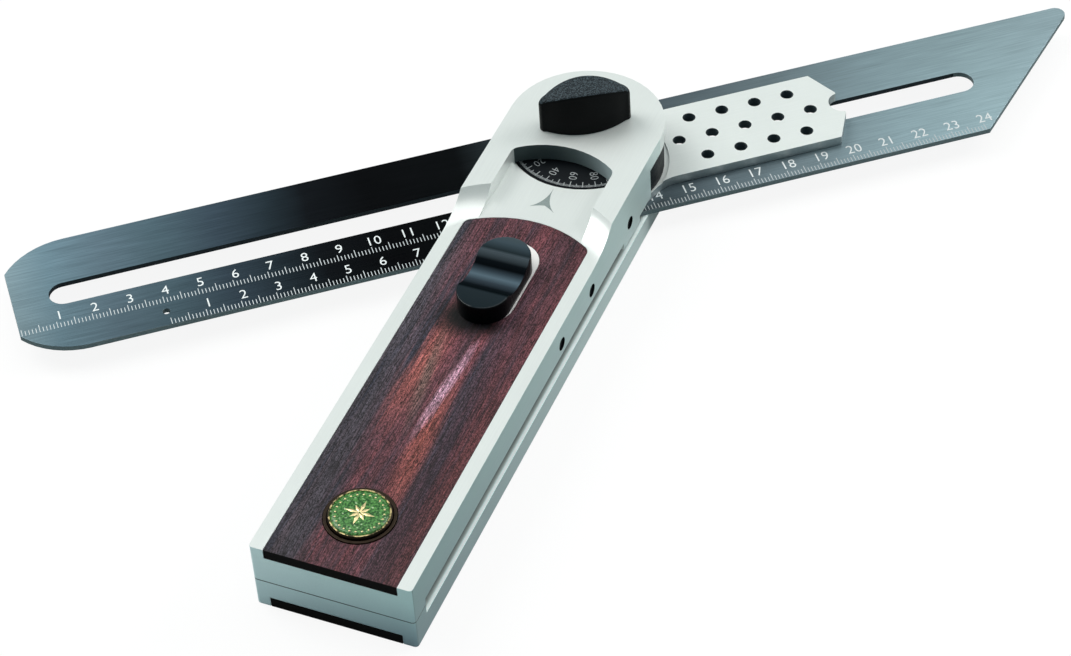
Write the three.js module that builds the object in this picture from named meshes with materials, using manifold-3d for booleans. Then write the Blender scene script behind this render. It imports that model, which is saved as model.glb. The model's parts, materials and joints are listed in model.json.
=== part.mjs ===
// Multi-function square: a sliding, swinging steel blade clamped in an aluminium
// handle with rosewood inlays, a protractor drum under a raised head, a perforated
// marking plate, a clamp knob and a thumb slider that works a click stop.
// Millimetres. The origin is on the pivot axis at the underside of the handle, +Z is
// up, the handle runs from the pivot towards -Y and its rounded head points to +Y.

import * as THREE from 'three';
import { mergeVertices } from 'three/addons/utils/BufferGeometryUtils.js';
import Module from 'manifold-3d';

const wasm = await Module();
wasm.setup();

// Clearances and shared values
const sheetPlay = 0.1; // between the flat sliding faces
const flangePlay = 0.3; // over the flange and the plate under the head
const turnPlay = 0.4; // round and over whatever turns
const fitPlay = 0.15; // round screws, shafts and pressed pieces
const glueLine = 0.1; // round the glued inlays
const cutOverrun = 2; // how far a cutter runs past the face it opens
const mergeTolerance = 1e-4;
const shortestEdge = 0.01; // points nearer than this count as one
const chordError = 0.05; // how far a facet may lie inside its arc

// Handle
const handleWidth = 45;
const handleHeight = 21.5;
const lowerShellHeight = 6.3;
const sideSlotHeight = 3; // slot that takes the folded blade
const slotReliefHeight = 2.3; // how much higher the slot is along both sides
const slotReliefWidth = 12;
const endBlockDepth = 5.3; // solid end in front of the folded blade
const endCornerRadius = 1;

// Raised head
const capRaiseHeight = 4.5;
const capArcRadius = 36;
const capArcReach = 29.2; // pivot axis to the front edge of the raised cap
const shoulderLength = 10.2; // length of the hollow slope in front of the cap
const slopeSteps = 8;
const channelWidth = 30.4;
const windowReach = 11.7; // pivot axis to the back wall of the window
const windowArcRadius = 24.1;
const windowCornerRadius = 3;
const windowLedgeWidth = 1.1; // bright ledge round the drum in the window
const openingReach = 8; // pivot axis to the end of the head's side opening

// Wood inlays
const inlayWidth = 36.8;
const topInlayDepth = 3.1;
const bottomInlayDepth = 3.3;
const inlayReach = 38.9; // pivot axis to the inlay's arched end
const inlayArcRadius = 32;
const inlayCornerRadius = 2.6;

// Blade, placed by the zero of its outer scale
const bladeWidth = 44.7;
const bladeThickness = 1.6;
const pivotScaleDistance = 125.4; // where the pivot stands on the scale at rest
const bladeTailLength = 42.2; // scale zero to the square tail
const tailArcDistance = 24; // scale zero to the centre of the tail's arc
const scaleEdgeLength = 239.8; // scale zero to the sharp corner
const tipRadius = 2.8;
const slotWidth = 8.6;
const slotTailLength = 31.8;
const slotPastCornerLength = 3.6; // sharp corner to the slot's end
const zeroHoleRadius = 1.1;
const zeroHoleEdgeDistance = 5.6;
const zeroHoleSetbackDistance = 1.8;

// Turning carrier: flange under the head, marking plate, key in the blade's slot
const handleHeading = -90; // degrees from +X
const bladeAngle = 38.8; // degrees from +X
const smallestSwing = 85; // degrees from the handle to the marking plate
const carrierThickness = 2.9;
const carrierRecessDepth = 0.6;
const carrierRecessMarginWidth = 0.9;
const plateWidth = 28.6;
const plateReach = 76.8; // pivot axis to the plate's blunt point
const plateChamferLength = 4.9;
const plateTipWidth = 9.4;
const plateFlareRadius = 12; // radius between the flange and the plate
const holeRadius = 1.9;
const holePitch = 10;
const holeRowOffset = 8.5;
const holeMarginWidth = 2.5; // between the flange and the first hole's centre
const notchRadius = 4.2;
const notchOverhangLength = 0.8; // blunt point to the notch's centre
const outerRowSetbackDistance = 14.2; // notch's centre to the last hole of an outer row
const keyLength = 24;
const keyPlay = 0.3;

// Protractor drum
const drumSetbackWidth = 0.5; // inside the head's outline
const drumHeight = 9.9;
const drumBevelWidth = 0.5;
const drumHubRadius = 8;
const drumHubDepth = 1.2;
const stopAngles = [90, 105, 120, 135, 150, 165, 180, 195, 210, 225, 240, 255, 270];
const dimpleRadius = 1.5;
const dimpleDepth = 1.1;
const drumScrewCount = 3;
const drumScrewCircleRadius = 14;
const drumScrewRadius = 1.5;
const drumScrewHeadRadius = 2.7;
const drumScrewHeadDepth = 1.6;
const drumScrewLength = 8;
const drumScrewPhase = 60;

// Pivot bolt and clamp
const boltRadius = 3;
const boltHeadRadius = 9;
const boltHeadHeight = 2.1;
const boltHeadBevelWidth = 0.4;
const boltNeckWidth = 8;
const boltThreadLength = 6.5; // thread inside the knob
const washerRadius = 5.2;
const washerThickness = 1;
const insertRadius = 4.4;
const insertFlangeRadius = 4.9;
const insertFlangeHeight = 1;
const knobFootGap = 0.15;
const knobLength = 26;
const knobFootWidth = 10.9;
const knobTopWidth = 9.4;
const knobEndWidth = 3.8;
const knobEndRadius = 1.75;
const knobEndHeight = 9.6;
const knobCrownHeight = 3.8;
const knobRoundingRadius = 1;
const knobArcSteps = 7;
const roundingSteps = 4;
const knobAngle = 31.5; // degrees from +X

// Thumb slider and click stop
const sliderReach = 66.8; // pivot axis to the middle of the thumb slider
const sliderTravelLength = 4;
const sliderLength = 29;
const sliderWidth = 14.8;
const sliderHeight = 5.9;
const sliderBevelWidth = 0.45;
const sliderBevelSteps = 2;
const sliderArcSteps = 12;
const sliderGap = 0.1;
const slidePlateLength = 32.6;
const slidePlateMarginWidth = 0.4; // beyond the thumb slider pushed forward
const slidePlateThickness = 0.8;
const scoopLength = 14.75;
const scoopDepth = 2.5;
const mechanismDropHeight = 3.3; // inlay's underside to the axis of the plunger and the side screws
const stemLength = 10;
const stemWidth = 6;
const barLength = 30;
const barWidth = 10.4;
const barDropHeight = 2.6; // bar's underside below the plunger's axis
const guideWallThickness = 2;
const guideFloorThickness = 1.2;
const springRadius = 1.8;
const springWireRadius = 0.3;
const springTurns = 8;
const springTurnSteps = 9;
const springArcSteps = 3;
const springBoreDepth = 10;
const plungerRadius = 2.5;
const plungerGap = 0.2; // nose to the drum's rim with the slider forward
const noseLength = 2.2;
const noseTipRadius = 0.6;
const plungerTailGap = 1.5;
const bushingWallThickness = 0.9;
const bushingLength = 14;

// Side screws, end screws and dowels
const sideScrewRadius = 1.8;
const sideScrewRecessDepth = 0.6;
const sideScrewReaches = [24.1, 52.9, 74.8];
const hexSocketRadius = 0.85;
const hexSocketDepth = 1.5;
const hexSides = 6;
const endScrewRadius = 1.5;
const endScrewHeadRadius = 2.4;
const endScrewHeadHeight = 1.6;
const endScrewCoverHeight = 3.1; // end screws' tips to the top inlay's underside
const endScrewSpacing = 28;
const dowelRadius = 1.25;
const dowelSpacing = 12;
const dowelLength = 7;

// Medallion in its bezel cup
const medallionEndDistance = 18.8; // handle's flat end to the middle
const medallionRadius = 8.5;
const medallionProudHeight = 1.2;
const medallionDomeHeight = 0.35;
const medallionRimWidth = 0.8;
const medallionRimDepth = 0.25;
const bezelWallThickness = 0.9;
const bezelFloorThickness = 0.6;
const bezelProudHeight = 0.3;

// Heights that follow from the stack
const halfWidth = handleWidth / 2;
const headRadius = halfWidth;
const bladeBottom = lowerShellHeight + sheetPlay;
const bladeTop = bladeBottom + bladeThickness;
const upperShellBottom = lowerShellHeight + sideSlotHeight;
const carrierBottom = bladeTop + sheetPlay;
const carrierTop = carrierBottom + carrierThickness;
const carrierSeat = carrierTop - carrierRecessDepth;
const drumTop = carrierSeat + drumHeight;
const capUnderside = drumTop + turnPlay;
const capTop = handleHeight + capRaiseHeight;
const knobFoot = capTop + knobFootGap;
const boltTop = knobFoot + boltThreadLength;
const topPocketFloor = handleHeight - topInlayDepth;
const mechanismHeight = topPocketFloor - mechanismDropHeight;
const endScrewLength = topPocketFloor - endScrewCoverHeight - bottomInlayDepth;

// Reaches that follow from the blade
const tailHalfFlat = Math.sqrt((bladeWidth / 2) ** 2 - (bladeTailLength - tailArcDistance) ** 2);
const tailReach = bladeTailLength + pivotScaleDistance;
const foldRadius = Math.hypot(tailReach, tailHalfFlat) + turnPlay;
const frontReach = foldRadius + endBlockDepth;
const medallionReach = frontReach - medallionEndDistance;
const drumRadius = headRadius - drumSetbackWidth;
const drumCavityRadius = drumRadius + turnPlay;

// Materials
const finish = (color, roughness, metalness) =>
  new THREE.MeshStandardMaterial({ color, roughness, metalness, flatShading: true });
const aluminium = finish(0xd9dddc, 0.4, 0.9);
const bladeSteel = finish(0x8b949b, 0.35, 1);
const plainSteel = finish(0x9a9c9e, 0.4, 1);
const darkSteel = finish(0x2b2d2f, 0.5, 0.8);
const rosewood = finish(0x5a2a26, 0.4, 0);
const blackAnodised = finish(0x15171a, 0.45, 0.6);
const blackPlastic = finish(0x17191b, 0.7, 0);
const glossBlack = finish(0x14181b, 0.2, 0);
const greenEnamel = finish(0x2f7d38, 0.35, 0.1);
const brass = finish(0xb08d4a, 0.4, 1);
const bezelBronze = finish(0x2a1a10, 0.5, 0.6);

// Solids from closed geometries, and back again
function toSolid(geometry) {
  const bare = geometry.clone();
  bare.deleteAttribute('normal');
  bare.deleteAttribute('uv');
  const merged = mergeVertices(bare, mergeTolerance);
  return new wasm.Manifold(
    new wasm.Mesh({
      numProp: 3,
      vertProperties: new Float32Array(merged.attributes.position.array),
      triVerts: new Uint32Array(merged.index.array),
    }),
  );
}

function toGeometry(solid) {
  const mesh = solid.getMesh();
  const geometry = new THREE.BufferGeometry();
  geometry.setAttribute('position', new THREE.BufferAttribute(mesh.vertProperties, 3));
  geometry.setIndex(new THREE.BufferAttribute(mesh.triVerts, 1));
  geometry.computeVertexNormals();
  return geometry;
}

function place(group, name, geometry, material) {
  const mesh = new THREE.Mesh(geometry, material.clone());
  mesh.name = name;
  group.add(mesh);
  return mesh;
}

const placeSolid = (group, name, solid, material) => place(group, name, toGeometry(solid), material);

// Facets in a full turn, a multiple of four
const sidesFor = (radius) => 4 * Math.ceil(Math.PI / (4 * Math.acos(1 - chordError / radius)));

// An outline's points, with each arc cut as finely as its radius needs
function outlinePoints(shape) {
  const points = shape.curves.flatMap((curve) => {
    const sweep = curve.isEllipseCurve ? curve.getLength() / curve.xRadius : 0;
    const steps = sweep ? Math.ceil((sidesFor(curve.xRadius) * sweep) / (2 * Math.PI)) : 1;
    return curve.getPoints(Math.max(1, steps));
  });
  return points.filter((point, index) => point.distanceTo(points.at(index - 1)) > shortestEdge);
}

function prism(shape, bottom, top) {
  const geometry = new THREE.ExtrudeGeometry(new THREE.Shape(outlinePoints(shape)), {
    depth: top - bottom,
    bevelEnabled: false,
  });
  geometry.translate(0, 0, bottom);
  return toSolid(geometry);
}

function block(x0, x1, y0, y1, z0, z1) {
  const geometry = new THREE.BoxGeometry(x1 - x0, y1 - y0, z1 - z0);
  geometry.translate((x0 + x1) / 2, (y0 + y1) / 2, (z0 + z1) / 2);
  return toSolid(geometry);
}

// A revolved profile of [radius, height] points that closes on the axis
function revolved(profile, sides) {
  const points = profile.map(([radius, height]) => new THREE.Vector2(radius, height));
  const widest = Math.max(...profile.map(([radius]) => radius));
  const geometry = new THREE.LatheGeometry(points, sides ?? sidesFor(widest));
  geometry.rotateX(Math.PI / 2);
  return toSolid(geometry);
}

const disc = (radius, bottom, top, sides) =>
  revolved([[0, bottom], [radius, bottom], [radius, top], [0, top]], sides);

// Turns an upright solid to point along +X or +Y
const alongX = (solid) => solid.rotate([0, 90, 0]);
const alongY = (solid) => solid.rotate([-90, 0, 0]);

// Outline of the handle seen from above, shared by both shells
function handlePlan() {
  const plan = new THREE.Shape();
  const front = -frontReach;
  const corner = endCornerRadius;
  plan.moveTo(-halfWidth + corner, front);
  plan.lineTo(halfWidth - corner, front);
  plan.absarc(halfWidth - corner, front + corner, corner, -Math.PI / 2, 0);
  plan.lineTo(halfWidth, 0);
  plan.absarc(0, 0, headRadius, 0, Math.PI);
  plan.lineTo(-halfWidth, front + corner);
  plan.absarc(-halfWidth + corner, front + corner, corner, Math.PI, 1.5 * Math.PI);
  return plan;
}

// A strip that runs towards the head and ends in a bulging arc with rounded corners
function archedStrip(halfStrip, startY, arcReach, arcRadius, cornerRadius) {
  const centreY = -arcReach - arcRadius;
  const cornerX = halfStrip - cornerRadius;
  const cornerY = centreY + Math.sqrt((arcRadius - cornerRadius) ** 2 - cornerX ** 2);
  const lean = Math.atan2(cornerY - centreY, cornerX);
  const strip = new THREE.Shape();
  strip.moveTo(-halfStrip, startY);
  strip.lineTo(halfStrip, startY);
  strip.lineTo(halfStrip, cornerY);
  strip.absarc(cornerX, cornerY, cornerRadius, 0, lean);
  strip.absarc(0, centreY, arcRadius, lean, Math.PI - lean);
  strip.absarc(-cornerX, cornerY, cornerRadius, Math.PI - lean, Math.PI);
  strip.lineTo(-halfStrip, startY);
  return strip;
}

const inlayPlan = (growth) =>
  archedStrip(
    inlayWidth / 2 + growth,
    -frontReach - (growth > 0 ? cutOverrun : 0),
    inlayReach - growth,
    inlayArcRadius + growth,
    inlayCornerRadius + growth,
  );

function stadium(length, width) {
  const reach = (length - width) / 2;
  const shape = new THREE.Shape();
  shape.moveTo(-reach, -width / 2);
  shape.lineTo(reach, -width / 2);
  shape.absarc(reach, 0, width / 2, -Math.PI / 2, Math.PI / 2);
  shape.lineTo(-reach, width / 2);
  shape.absarc(-reach, 0, width / 2, Math.PI / 2, 1.5 * Math.PI);
  return shape;
}

// The corner that stops the marking plate, from the smallest swing
const plateHalf = plateWidth / 2 + turnPlay;
const swing = THREE.MathUtils.degToRad(smallestSwing);
const stopReach = (plateHalf - halfWidth * Math.cos(swing)) / Math.sin(swing);

// What is cut out of the raised bar in front of the head, down to handle level
function shoulderCutter() {
  const centreY = -capArcReach - capArcRadius;
  const footRadius = capArcRadius - shoulderLength;
  const hollow = (shoulderLength ** 2 + capRaiseHeight ** 2) / (2 * capRaiseHeight);
  const sweep = Math.asin(shoulderLength / hollow);
  const profile = [[0, handleHeight]];
  for (let step = 0; step <= slopeSteps; step += 1) {
    const angle = (sweep * step) / slopeSteps;
    profile.push([
      footRadius + hollow * Math.sin(angle),
      handleHeight + hollow * (1 - Math.cos(angle)),
    ]);
  }
  profile.push([capArcRadius, capTop + cutOverrun], [0, capTop + cutOverrun]);
  const bowl = revolved(profile).translate([0, centreY, 0]);
  const reach = halfWidth + cutOverrun;
  const front = block(
    -reach, reach,
    -frontReach - cutOverrun, centreY,
    handleHeight, capTop + cutOverrun,
  );
  return bowl.add(front);
}

// Where the slider's bar, guide and plunger lie
const barFront = -sliderReach + barLength / 2;
const barBack = barFront - barLength;
const barBottom = mechanismHeight - barDropHeight;
const guideHalf = barWidth / 2 + fitPlay + guideWallThickness;
const guideFront = barFront + sliderTravelLength + turnPlay;
const guideBack = barBack - turnPlay;
const guideBottom = barBottom - fitPlay - guideFloorThickness;
const noseTip = -(drumRadius + plungerGap + sliderTravelLength);
const bushingRadius = plungerRadius + fitPlay + bushingWallThickness;
const bushingFront = -(drumCavityRadius + turnPlay);
const bushingBack = bushingFront - bushingLength;

function sideScrewDepths() {
  const onBushing = halfWidth - bushingRadius - fitPlay;
  const onGuide = halfWidth - guideHalf - fitPlay;
  return [onBushing, onGuide, onGuide];
}

function upperShell() {
  const bottomCut = upperShellBottom - cutOverrun;
  let shell = prism(handlePlan(), upperShellBottom, capTop);
  shell = shell.subtract(shoulderCutter());

  // Channel between the shoulders, ending at the window's arched back wall
  const channel = archedStrip(
    channelWidth / 2,
    -capArcReach - capArcRadius,
    windowReach,
    windowArcRadius,
    windowCornerRadius,
  );
  shell = shell.subtract(prism(channel, handleHeight, capTop + cutOverrun));
  const windowWell = disc(drumCavityRadius + windowLedgeWidth, drumTop, capTop);
  shell = shell.subtract(prism(channel, drumTop, capTop).intersect(windowWell));

  // Room for the drum, the flange and the swinging plate
  const reach = halfWidth + cutOverrun;
  shell = shell.subtract(disc(drumCavityRadius, bottomCut, capUnderside));
  shell = shell.subtract(
    disc(headRadius + turnPlay, bottomCut, carrierTop + flangePlay),
  );
  shell = shell.subtract(
    block(-reach, reach, -openingReach, headRadius + cutOverrun, bottomCut, capUnderside),
  );
  shell = shell.subtract(
    block(-reach, reach, -stopReach, 0, bottomCut, carrierTop + flangePlay),
  );
  for (const side of [-1, 1]) {
    const plate = prism(carrierPlan(turnPlay), bottomCut, carrierTop + flangePlay);
    shell = shell.subtract(plate.rotate([0, 0, handleHeading + side * smallestSwing]));
  }

  // Both sides of the blade's slot, higher than its middle
  const reliefHalf = halfWidth - slotReliefWidth;
  const reliefTop = upperShellBottom + slotReliefHeight;
  const sides = block(-reach, reach, -foldRadius, -capArcReach, bottomCut, reliefTop).subtract(
    block(-reliefHalf, reliefHalf, -foldRadius, -capArcReach, bottomCut, reliefTop),
  );
  shell = shell.subtract(sides.intersect(disc(foldRadius, bottomCut, capTop)));

  // Bolt hole and washer seat in the cap
  shell = shell.subtract(disc(boltRadius + turnPlay, capUnderside - cutOverrun, capTop + cutOverrun));
  shell = shell.subtract(
    disc(washerRadius + fitPlay, capTop - washerThickness, capTop + cutOverrun),
  );

  // Pocket of the top inlay, the slider guide's groove and the plunger's bore
  shell = shell.subtract(prism(inlayPlan(glueLine), topPocketFloor, handleHeight + cutOverrun));
  shell = shell.subtract(
    block(
      -guideHalf - fitPlay, guideHalf + fitPlay,
      guideBack - fitPlay, guideFront + fitPlay,
      guideBottom, topPocketFloor + cutOverrun,
    ),
  );
  const bore = disc(plungerRadius + fitPlay, 0, -drumRadius - guideBack);
  const seatLength = bushingLength + fitPlay + headRadius - drumRadius + turnPlay;
  const seat = disc(bushingRadius + fitPlay, 0, seatLength);
  shell = shell.subtract(alongY(bore).translate([0, guideBack, mechanismHeight]));
  shell = shell.subtract(alongY(seat).translate([0, bushingBack - fitPlay, mechanismHeight]));

  // Side screw holes
  sideScrewDepths().forEach((depth, index) => {
    const hole = alongX(disc(sideScrewRadius + fitPlay, 0, depth + cutOverrun));
    const start = halfWidth - depth - fitPlay;
    shell = shell.subtract(
      hole.translate([start, -sideScrewReaches[index], mechanismHeight]),
    );
  });

  // End screws and dowels
  endHoles().forEach(({ x, y, radius, top }) => {
    shell = shell.subtract(disc(radius + fitPlay, bottomCut, top).translate([x, y, 0]));
  });
  return shell;
}

// Screws and dowels in the end block, hidden by the bottom inlay
const endHoleY = -frontReach + endBlockDepth / 2;
const endScrewSeat = bottomInlayDepth + endScrewHeadHeight + fitPlay;
const dowelBottom = upperShellBottom - dowelLength / 2;

function endHoles() {
  const holes = [];
  for (const side of [-1, 1]) {
    const screw = { radius: endScrewRadius, top: bottomInlayDepth + endScrewLength + fitPlay };
    const dowel = { radius: dowelRadius, top: dowelBottom + dowelLength + fitPlay };
    holes.push({ x: (side * endScrewSpacing) / 2, y: endHoleY, ...screw });
    holes.push({ x: (side * dowelSpacing) / 2, y: endHoleY, ...dowel });
  }
  return holes;
}

function lowerShell() {
  const reach = halfWidth + cutOverrun;
  let shell = prism(handlePlan(), 0, upperShellBottom);
  const behindBlock = block(
    -reach, reach,
    -frontReach - cutOverrun, headRadius + cutOverrun,
    lowerShellHeight, upperShellBottom + cutOverrun,
  );
  const foldDisc = disc(foldRadius, 0, upperShellBottom + cutOverrun);
  shell = shell.subtract(behindBlock.intersect(foldDisc));
  shell = shell.subtract(prism(inlayPlan(glueLine), -cutOverrun, bottomInlayDepth));

  // Seat for the pivot bolt's flat head and its square neck
  const neck = boltNeckWidth / 2 + fitPlay;
  shell = shell.subtract(disc(boltHeadRadius + fitPlay, -cutOverrun, boltHeadHeight));
  shell = shell.subtract(
    block(-neck, neck, -neck, neck, boltHeadHeight - fitPlay, lowerShellHeight + cutOverrun),
  );

  for (const side of [-1, 1]) {
    const screwX = (side * endScrewSpacing) / 2;
    const dowelX = (side * dowelSpacing) / 2;
    const head = disc(endScrewHeadRadius + fitPlay, 0, endScrewSeat);
    const shank = disc(endScrewRadius + fitPlay, 0, upperShellBottom + cutOverrun);
    const dowel = disc(
      dowelRadius + fitPlay,
      dowelBottom - fitPlay,
      upperShellBottom + cutOverrun,
    );
    shell = shell.subtract(head.translate([screwX, endHoleY, 0]));
    shell = shell.subtract(shank.translate([screwX, endHoleY, 0]));
    shell = shell.subtract(dowel.translate([dowelX, endHoleY, 0]));
  }
  return shell;
}

// Room for the slider's stem over its travel
function stemSlot() {
  const length = stemLength + sliderTravelLength + 2 * turnPlay;
  const bottom = topPocketFloor - cutOverrun;
  return prism(stadium(length, stemWidth + 2 * turnPlay), bottom, handleHeight + cutOverrun)
    .rotate([0, 0, 90])
    .translate([0, -sliderReach + sliderTravelLength / 2, 0]);
}

function slidePlateBlank(growth, top) {
  const width = sliderWidth + 2 * (slidePlateMarginWidth + growth);
  const front = -sliderReach + sliderLength / 2 + sliderTravelLength + slidePlateMarginWidth;
  const outline = stadium(slidePlateLength + 2 * growth, width);
  return prism(outline, handleHeight - slidePlateThickness, top)
    .rotate([0, 0, 90])
    .translate([0, front - slidePlateLength / 2, 0]);
}

// Plate under the thumb slider, let in flush with the inlay
function slidePlate() {
  return slidePlateBlank(0, handleHeight).subtract(stemSlot());
}

function topInlay() {
  const bezelHole = disc(
    medallionRadius + bezelWallThickness + 2 * fitPlay,
    topPocketFloor - cutOverrun,
    handleHeight + cutOverrun,
  ).translate([0, -medallionReach, 0]);
  return prism(inlayPlan(0), topPocketFloor, handleHeight)
    .subtract(slidePlateBlank(glueLine, handleHeight + cutOverrun))
    .subtract(stemSlot())
    .subtract(bezelHole);
}

function bezelCup() {
  const inner = medallionRadius + fitPlay;
  const outer = inner + bezelWallThickness;
  return revolved([
    [0, topPocketFloor],
    [outer, topPocketFloor],
    [outer, handleHeight + bezelProudHeight],
    [inner, handleHeight + bezelProudHeight],
    [inner, topPocketFloor + bezelFloorThickness],
    [0, topPocketFloor + bezelFloorThickness],
  ]);
}

function medallion() {
  const top = handleHeight + medallionProudHeight;
  const field = medallionRadius - medallionRimWidth;
  const profile = [
    [0, topPocketFloor + bezelFloorThickness],
    [medallionRadius, topPocketFloor + bezelFloorThickness],
    [medallionRadius, top - medallionRimWidth / 2],
    [medallionRadius - medallionRimWidth / 2, top],
    [field, top],
    [field, top - medallionRimDepth],
    [0, top - medallionRimDepth + medallionDomeHeight],
  ];
  return revolved(profile);
}

function sideScrew(depth) {
  const length = depth - sideScrewRecessDepth;
  const body = disc(sideScrewRadius, 0, length);
  const socket = disc(hexSocketRadius, length - hexSocketDepth, length + cutOverrun, hexSides);
  return alongX(body.subtract(socket));
}

function endScrew() {
  const head = bottomInlayDepth;
  const shoulder = head + endScrewHeadHeight;
  const tip = head + endScrewLength;
  return revolved(
    [
      [0, head],
      [endScrewHeadRadius, head],
      [endScrewHeadRadius, shoulder],
      [endScrewRadius, shoulder],
      [endScrewRadius, tip],
      [0, tip],
    ],
  );
}

function pivotBolt() {
  const neckTop = lowerShellHeight;
  const neck = boltNeckWidth / 2;
  const head = revolved([
    [0, 0],
    [boltHeadRadius - boltHeadBevelWidth, 0],
    [boltHeadRadius, boltHeadBevelWidth],
    [boltHeadRadius, boltHeadHeight],
    [0, boltHeadHeight],
  ]);
  const square = block(-neck, neck, -neck, neck, boltHeadHeight - fitPlay, neckTop);
  const shank = disc(boltRadius, boltHeadHeight - fitPlay, boltTop);
  return head.add(square).add(shank);
}

function washer() {
  const bore = boltRadius + fitPlay;
  const bottom = capTop - washerThickness;
  return disc(washerRadius, bottom, capTop).subtract(
    disc(bore, bottom - cutOverrun, capTop + cutOverrun),
  );
}

// Blade with its origin on the pivot axis
function blade() {
  const half = bladeWidth / 2;
  const arcX = -tailArcDistance - pivotScaleDistance;
  const tailX = -tailReach;
  const cornerX = scaleEdgeLength - pivotScaleDistance;
  const tipX = cornerX + bladeWidth;
  const turn = Math.acos((arcX - tailX) / half);
  const tipCentreX = tipX - tipRadius / Math.tan(Math.PI / 8);
  const outline = new THREE.Shape();
  outline.moveTo(arcX, -half);
  outline.lineTo(cornerX, -half);
  outline.absarc(tipCentreX, half - tipRadius, tipRadius, -Math.PI / 4, Math.PI / 2);
  outline.lineTo(arcX, half);
  outline.absarc(arcX, 0, half, Math.PI / 2, Math.PI - turn);
  outline.absarc(arcX, 0, half, Math.PI + turn, 1.5 * Math.PI);

  const slotStart = -slotTailLength - pivotScaleDistance;
  const slotEnd = cornerX + slotPastCornerLength;
  const slotLength = slotEnd - slotStart;
  const below = bladeBottom - cutOverrun;
  const above = bladeTop + cutOverrun;
  const slot = prism(stadium(slotLength, slotWidth), below, above);
  const zeroHole = disc(zeroHoleRadius, below, above);
  const zeroHoleX = -pivotScaleDistance - zeroHoleSetbackDistance;
  return prism(outline, bladeBottom, bladeTop)
    .subtract(slot.translate([(slotStart + slotEnd) / 2, 0, 0]))
    .subtract(zeroHole.translate([zeroHoleX, zeroHoleEdgeDistance - half, 0]));
}

// Centre of the notch in the plate's blunt point
const notchX = plateReach + notchOverhangLength;

// Flange and marking plate in one outline, the plate pointing along +X
function carrierPlan(growth) {
  const half = plateWidth / 2 + growth;
  const flare = plateFlareRadius - growth;
  const flange = headRadius + growth;
  const flareX = Math.sqrt((flange + flare) ** 2 - (half + flare) ** 2);
  const lean = Math.atan2(half + flare, flareX);
  const chamferX = plateReach - plateChamferLength;
  const bite = Math.acos((plateReach - notchX) / notchRadius);
  const plan = new THREE.Shape();
  plan.absarc(flareX, -half - flare, flare, Math.PI - lean, Math.PI / 2, true);
  plan.lineTo(chamferX, -half);
  plan.lineTo(plateReach, -plateTipWidth / 2);
  plan.absarc(notchX, 0, notchRadius, -bite, bite, true);
  plan.lineTo(plateReach, plateTipWidth / 2);
  plan.lineTo(chamferX, half);
  plan.absarc(flareX, half + flare, flare, -Math.PI / 2, Math.PI + lean, true);
  plan.absarc(0, 0, flange, lean, 2 * Math.PI - lean);
  return plan;
}

// Three rows of holes, counted back from the notch
function holePlaces() {
  const places = [];
  for (const side of [-1, 0, 1]) {
    const last = notchX - (side === 0 ? holePitch : outerRowSetbackDistance);
    for (let x = last; x > headRadius + holeMarginWidth; x -= holePitch) {
      places.push([x, side * holeRowOffset]);
    }
  }
  return places;
}

function drumScrewPlaces() {
  const places = [];
  for (let index = 0; index < drumScrewCount; index += 1) {
    const angle = THREE.MathUtils.degToRad(drumScrewPhase + (360 * index) / drumScrewCount);
    places.push([drumScrewCircleRadius * Math.cos(angle), drumScrewCircleRadius * Math.sin(angle)]);
  }
  return places;
}

function carrier() {
  const below = bladeBottom - cutOverrun;
  const above = carrierTop + cutOverrun;
  const keyHalf = slotWidth / 2 - keyPlay;
  let body = prism(carrierPlan(0), carrierBottom, carrierTop);
  body = body.subtract(disc(headRadius + carrierRecessMarginWidth, carrierSeat, above));
  const keyPlan = stadium(keyLength, 2 * keyHalf);
  body = body.add(prism(keyPlan, bladeBottom, carrierBottom + sheetPlay));
  body = body.subtract(disc(boltRadius + fitPlay, below, above));
  for (const [x, y] of holePlaces()) {
    body = body.subtract(disc(holeRadius, below, above).translate([x, y, 0]));
  }
  const headHole = disc(drumScrewHeadRadius + fitPlay, below, carrierBottom + drumScrewHeadDepth);
  const shankHole = disc(drumScrewRadius + fitPlay, below, above);
  for (const [x, y] of drumScrewPlaces()) {
    body = body.subtract(headHole.translate([x, y, 0])).subtract(shankHole.translate([x, y, 0]));
  }
  return body;
}

const drumScrewBottom = carrierBottom + sheetPlay;

function drumScrew() {
  const shoulder = carrierBottom + drumScrewHeadDepth - sheetPlay;
  const tip = drumScrewBottom + drumScrewLength;
  return revolved(
    [
      [0, drumScrewBottom],
      [drumScrewHeadRadius, drumScrewBottom],
      [drumScrewHeadRadius, shoulder],
      [drumScrewRadius, shoulder],
      [drumScrewRadius, tip],
      [0, tip],
    ],
  );
}

function protractorDrum() {
  let drum = revolved(
    [
      [0, carrierSeat],
      [drumRadius, carrierSeat],
      [drumRadius, drumTop - drumBevelWidth],
      [drumRadius - drumBevelWidth, drumTop],
      [drumHubRadius, drumTop],
      [drumHubRadius, drumTop - drumHubDepth],
      [0, drumTop - drumHubDepth],
    ],
  );
  drum = drum.subtract(disc(boltRadius + fitPlay, carrierSeat - cutOverrun, drumTop + cutOverrun));
  const dimple = alongX(revolved([[0, 0], [dimpleRadius, dimpleDepth], [0, dimpleDepth]]));
  for (const angle of stopAngles) {
    const cutter = dimple.translate([drumRadius - dimpleDepth, 0, mechanismHeight]);
    drum = drum.subtract(cutter.rotate([0, 0, -angle]));
  }
  const screwTop = drumScrewBottom + drumScrewLength + fitPlay;
  const hole = disc(drumScrewRadius + fitPlay, carrierSeat - cutOverrun, screwTop);
  for (const [x, y] of drumScrewPlaces()) {
    drum = drum.subtract(hole.translate([x, y, 0]));
  }
  return drum;
}

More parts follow.
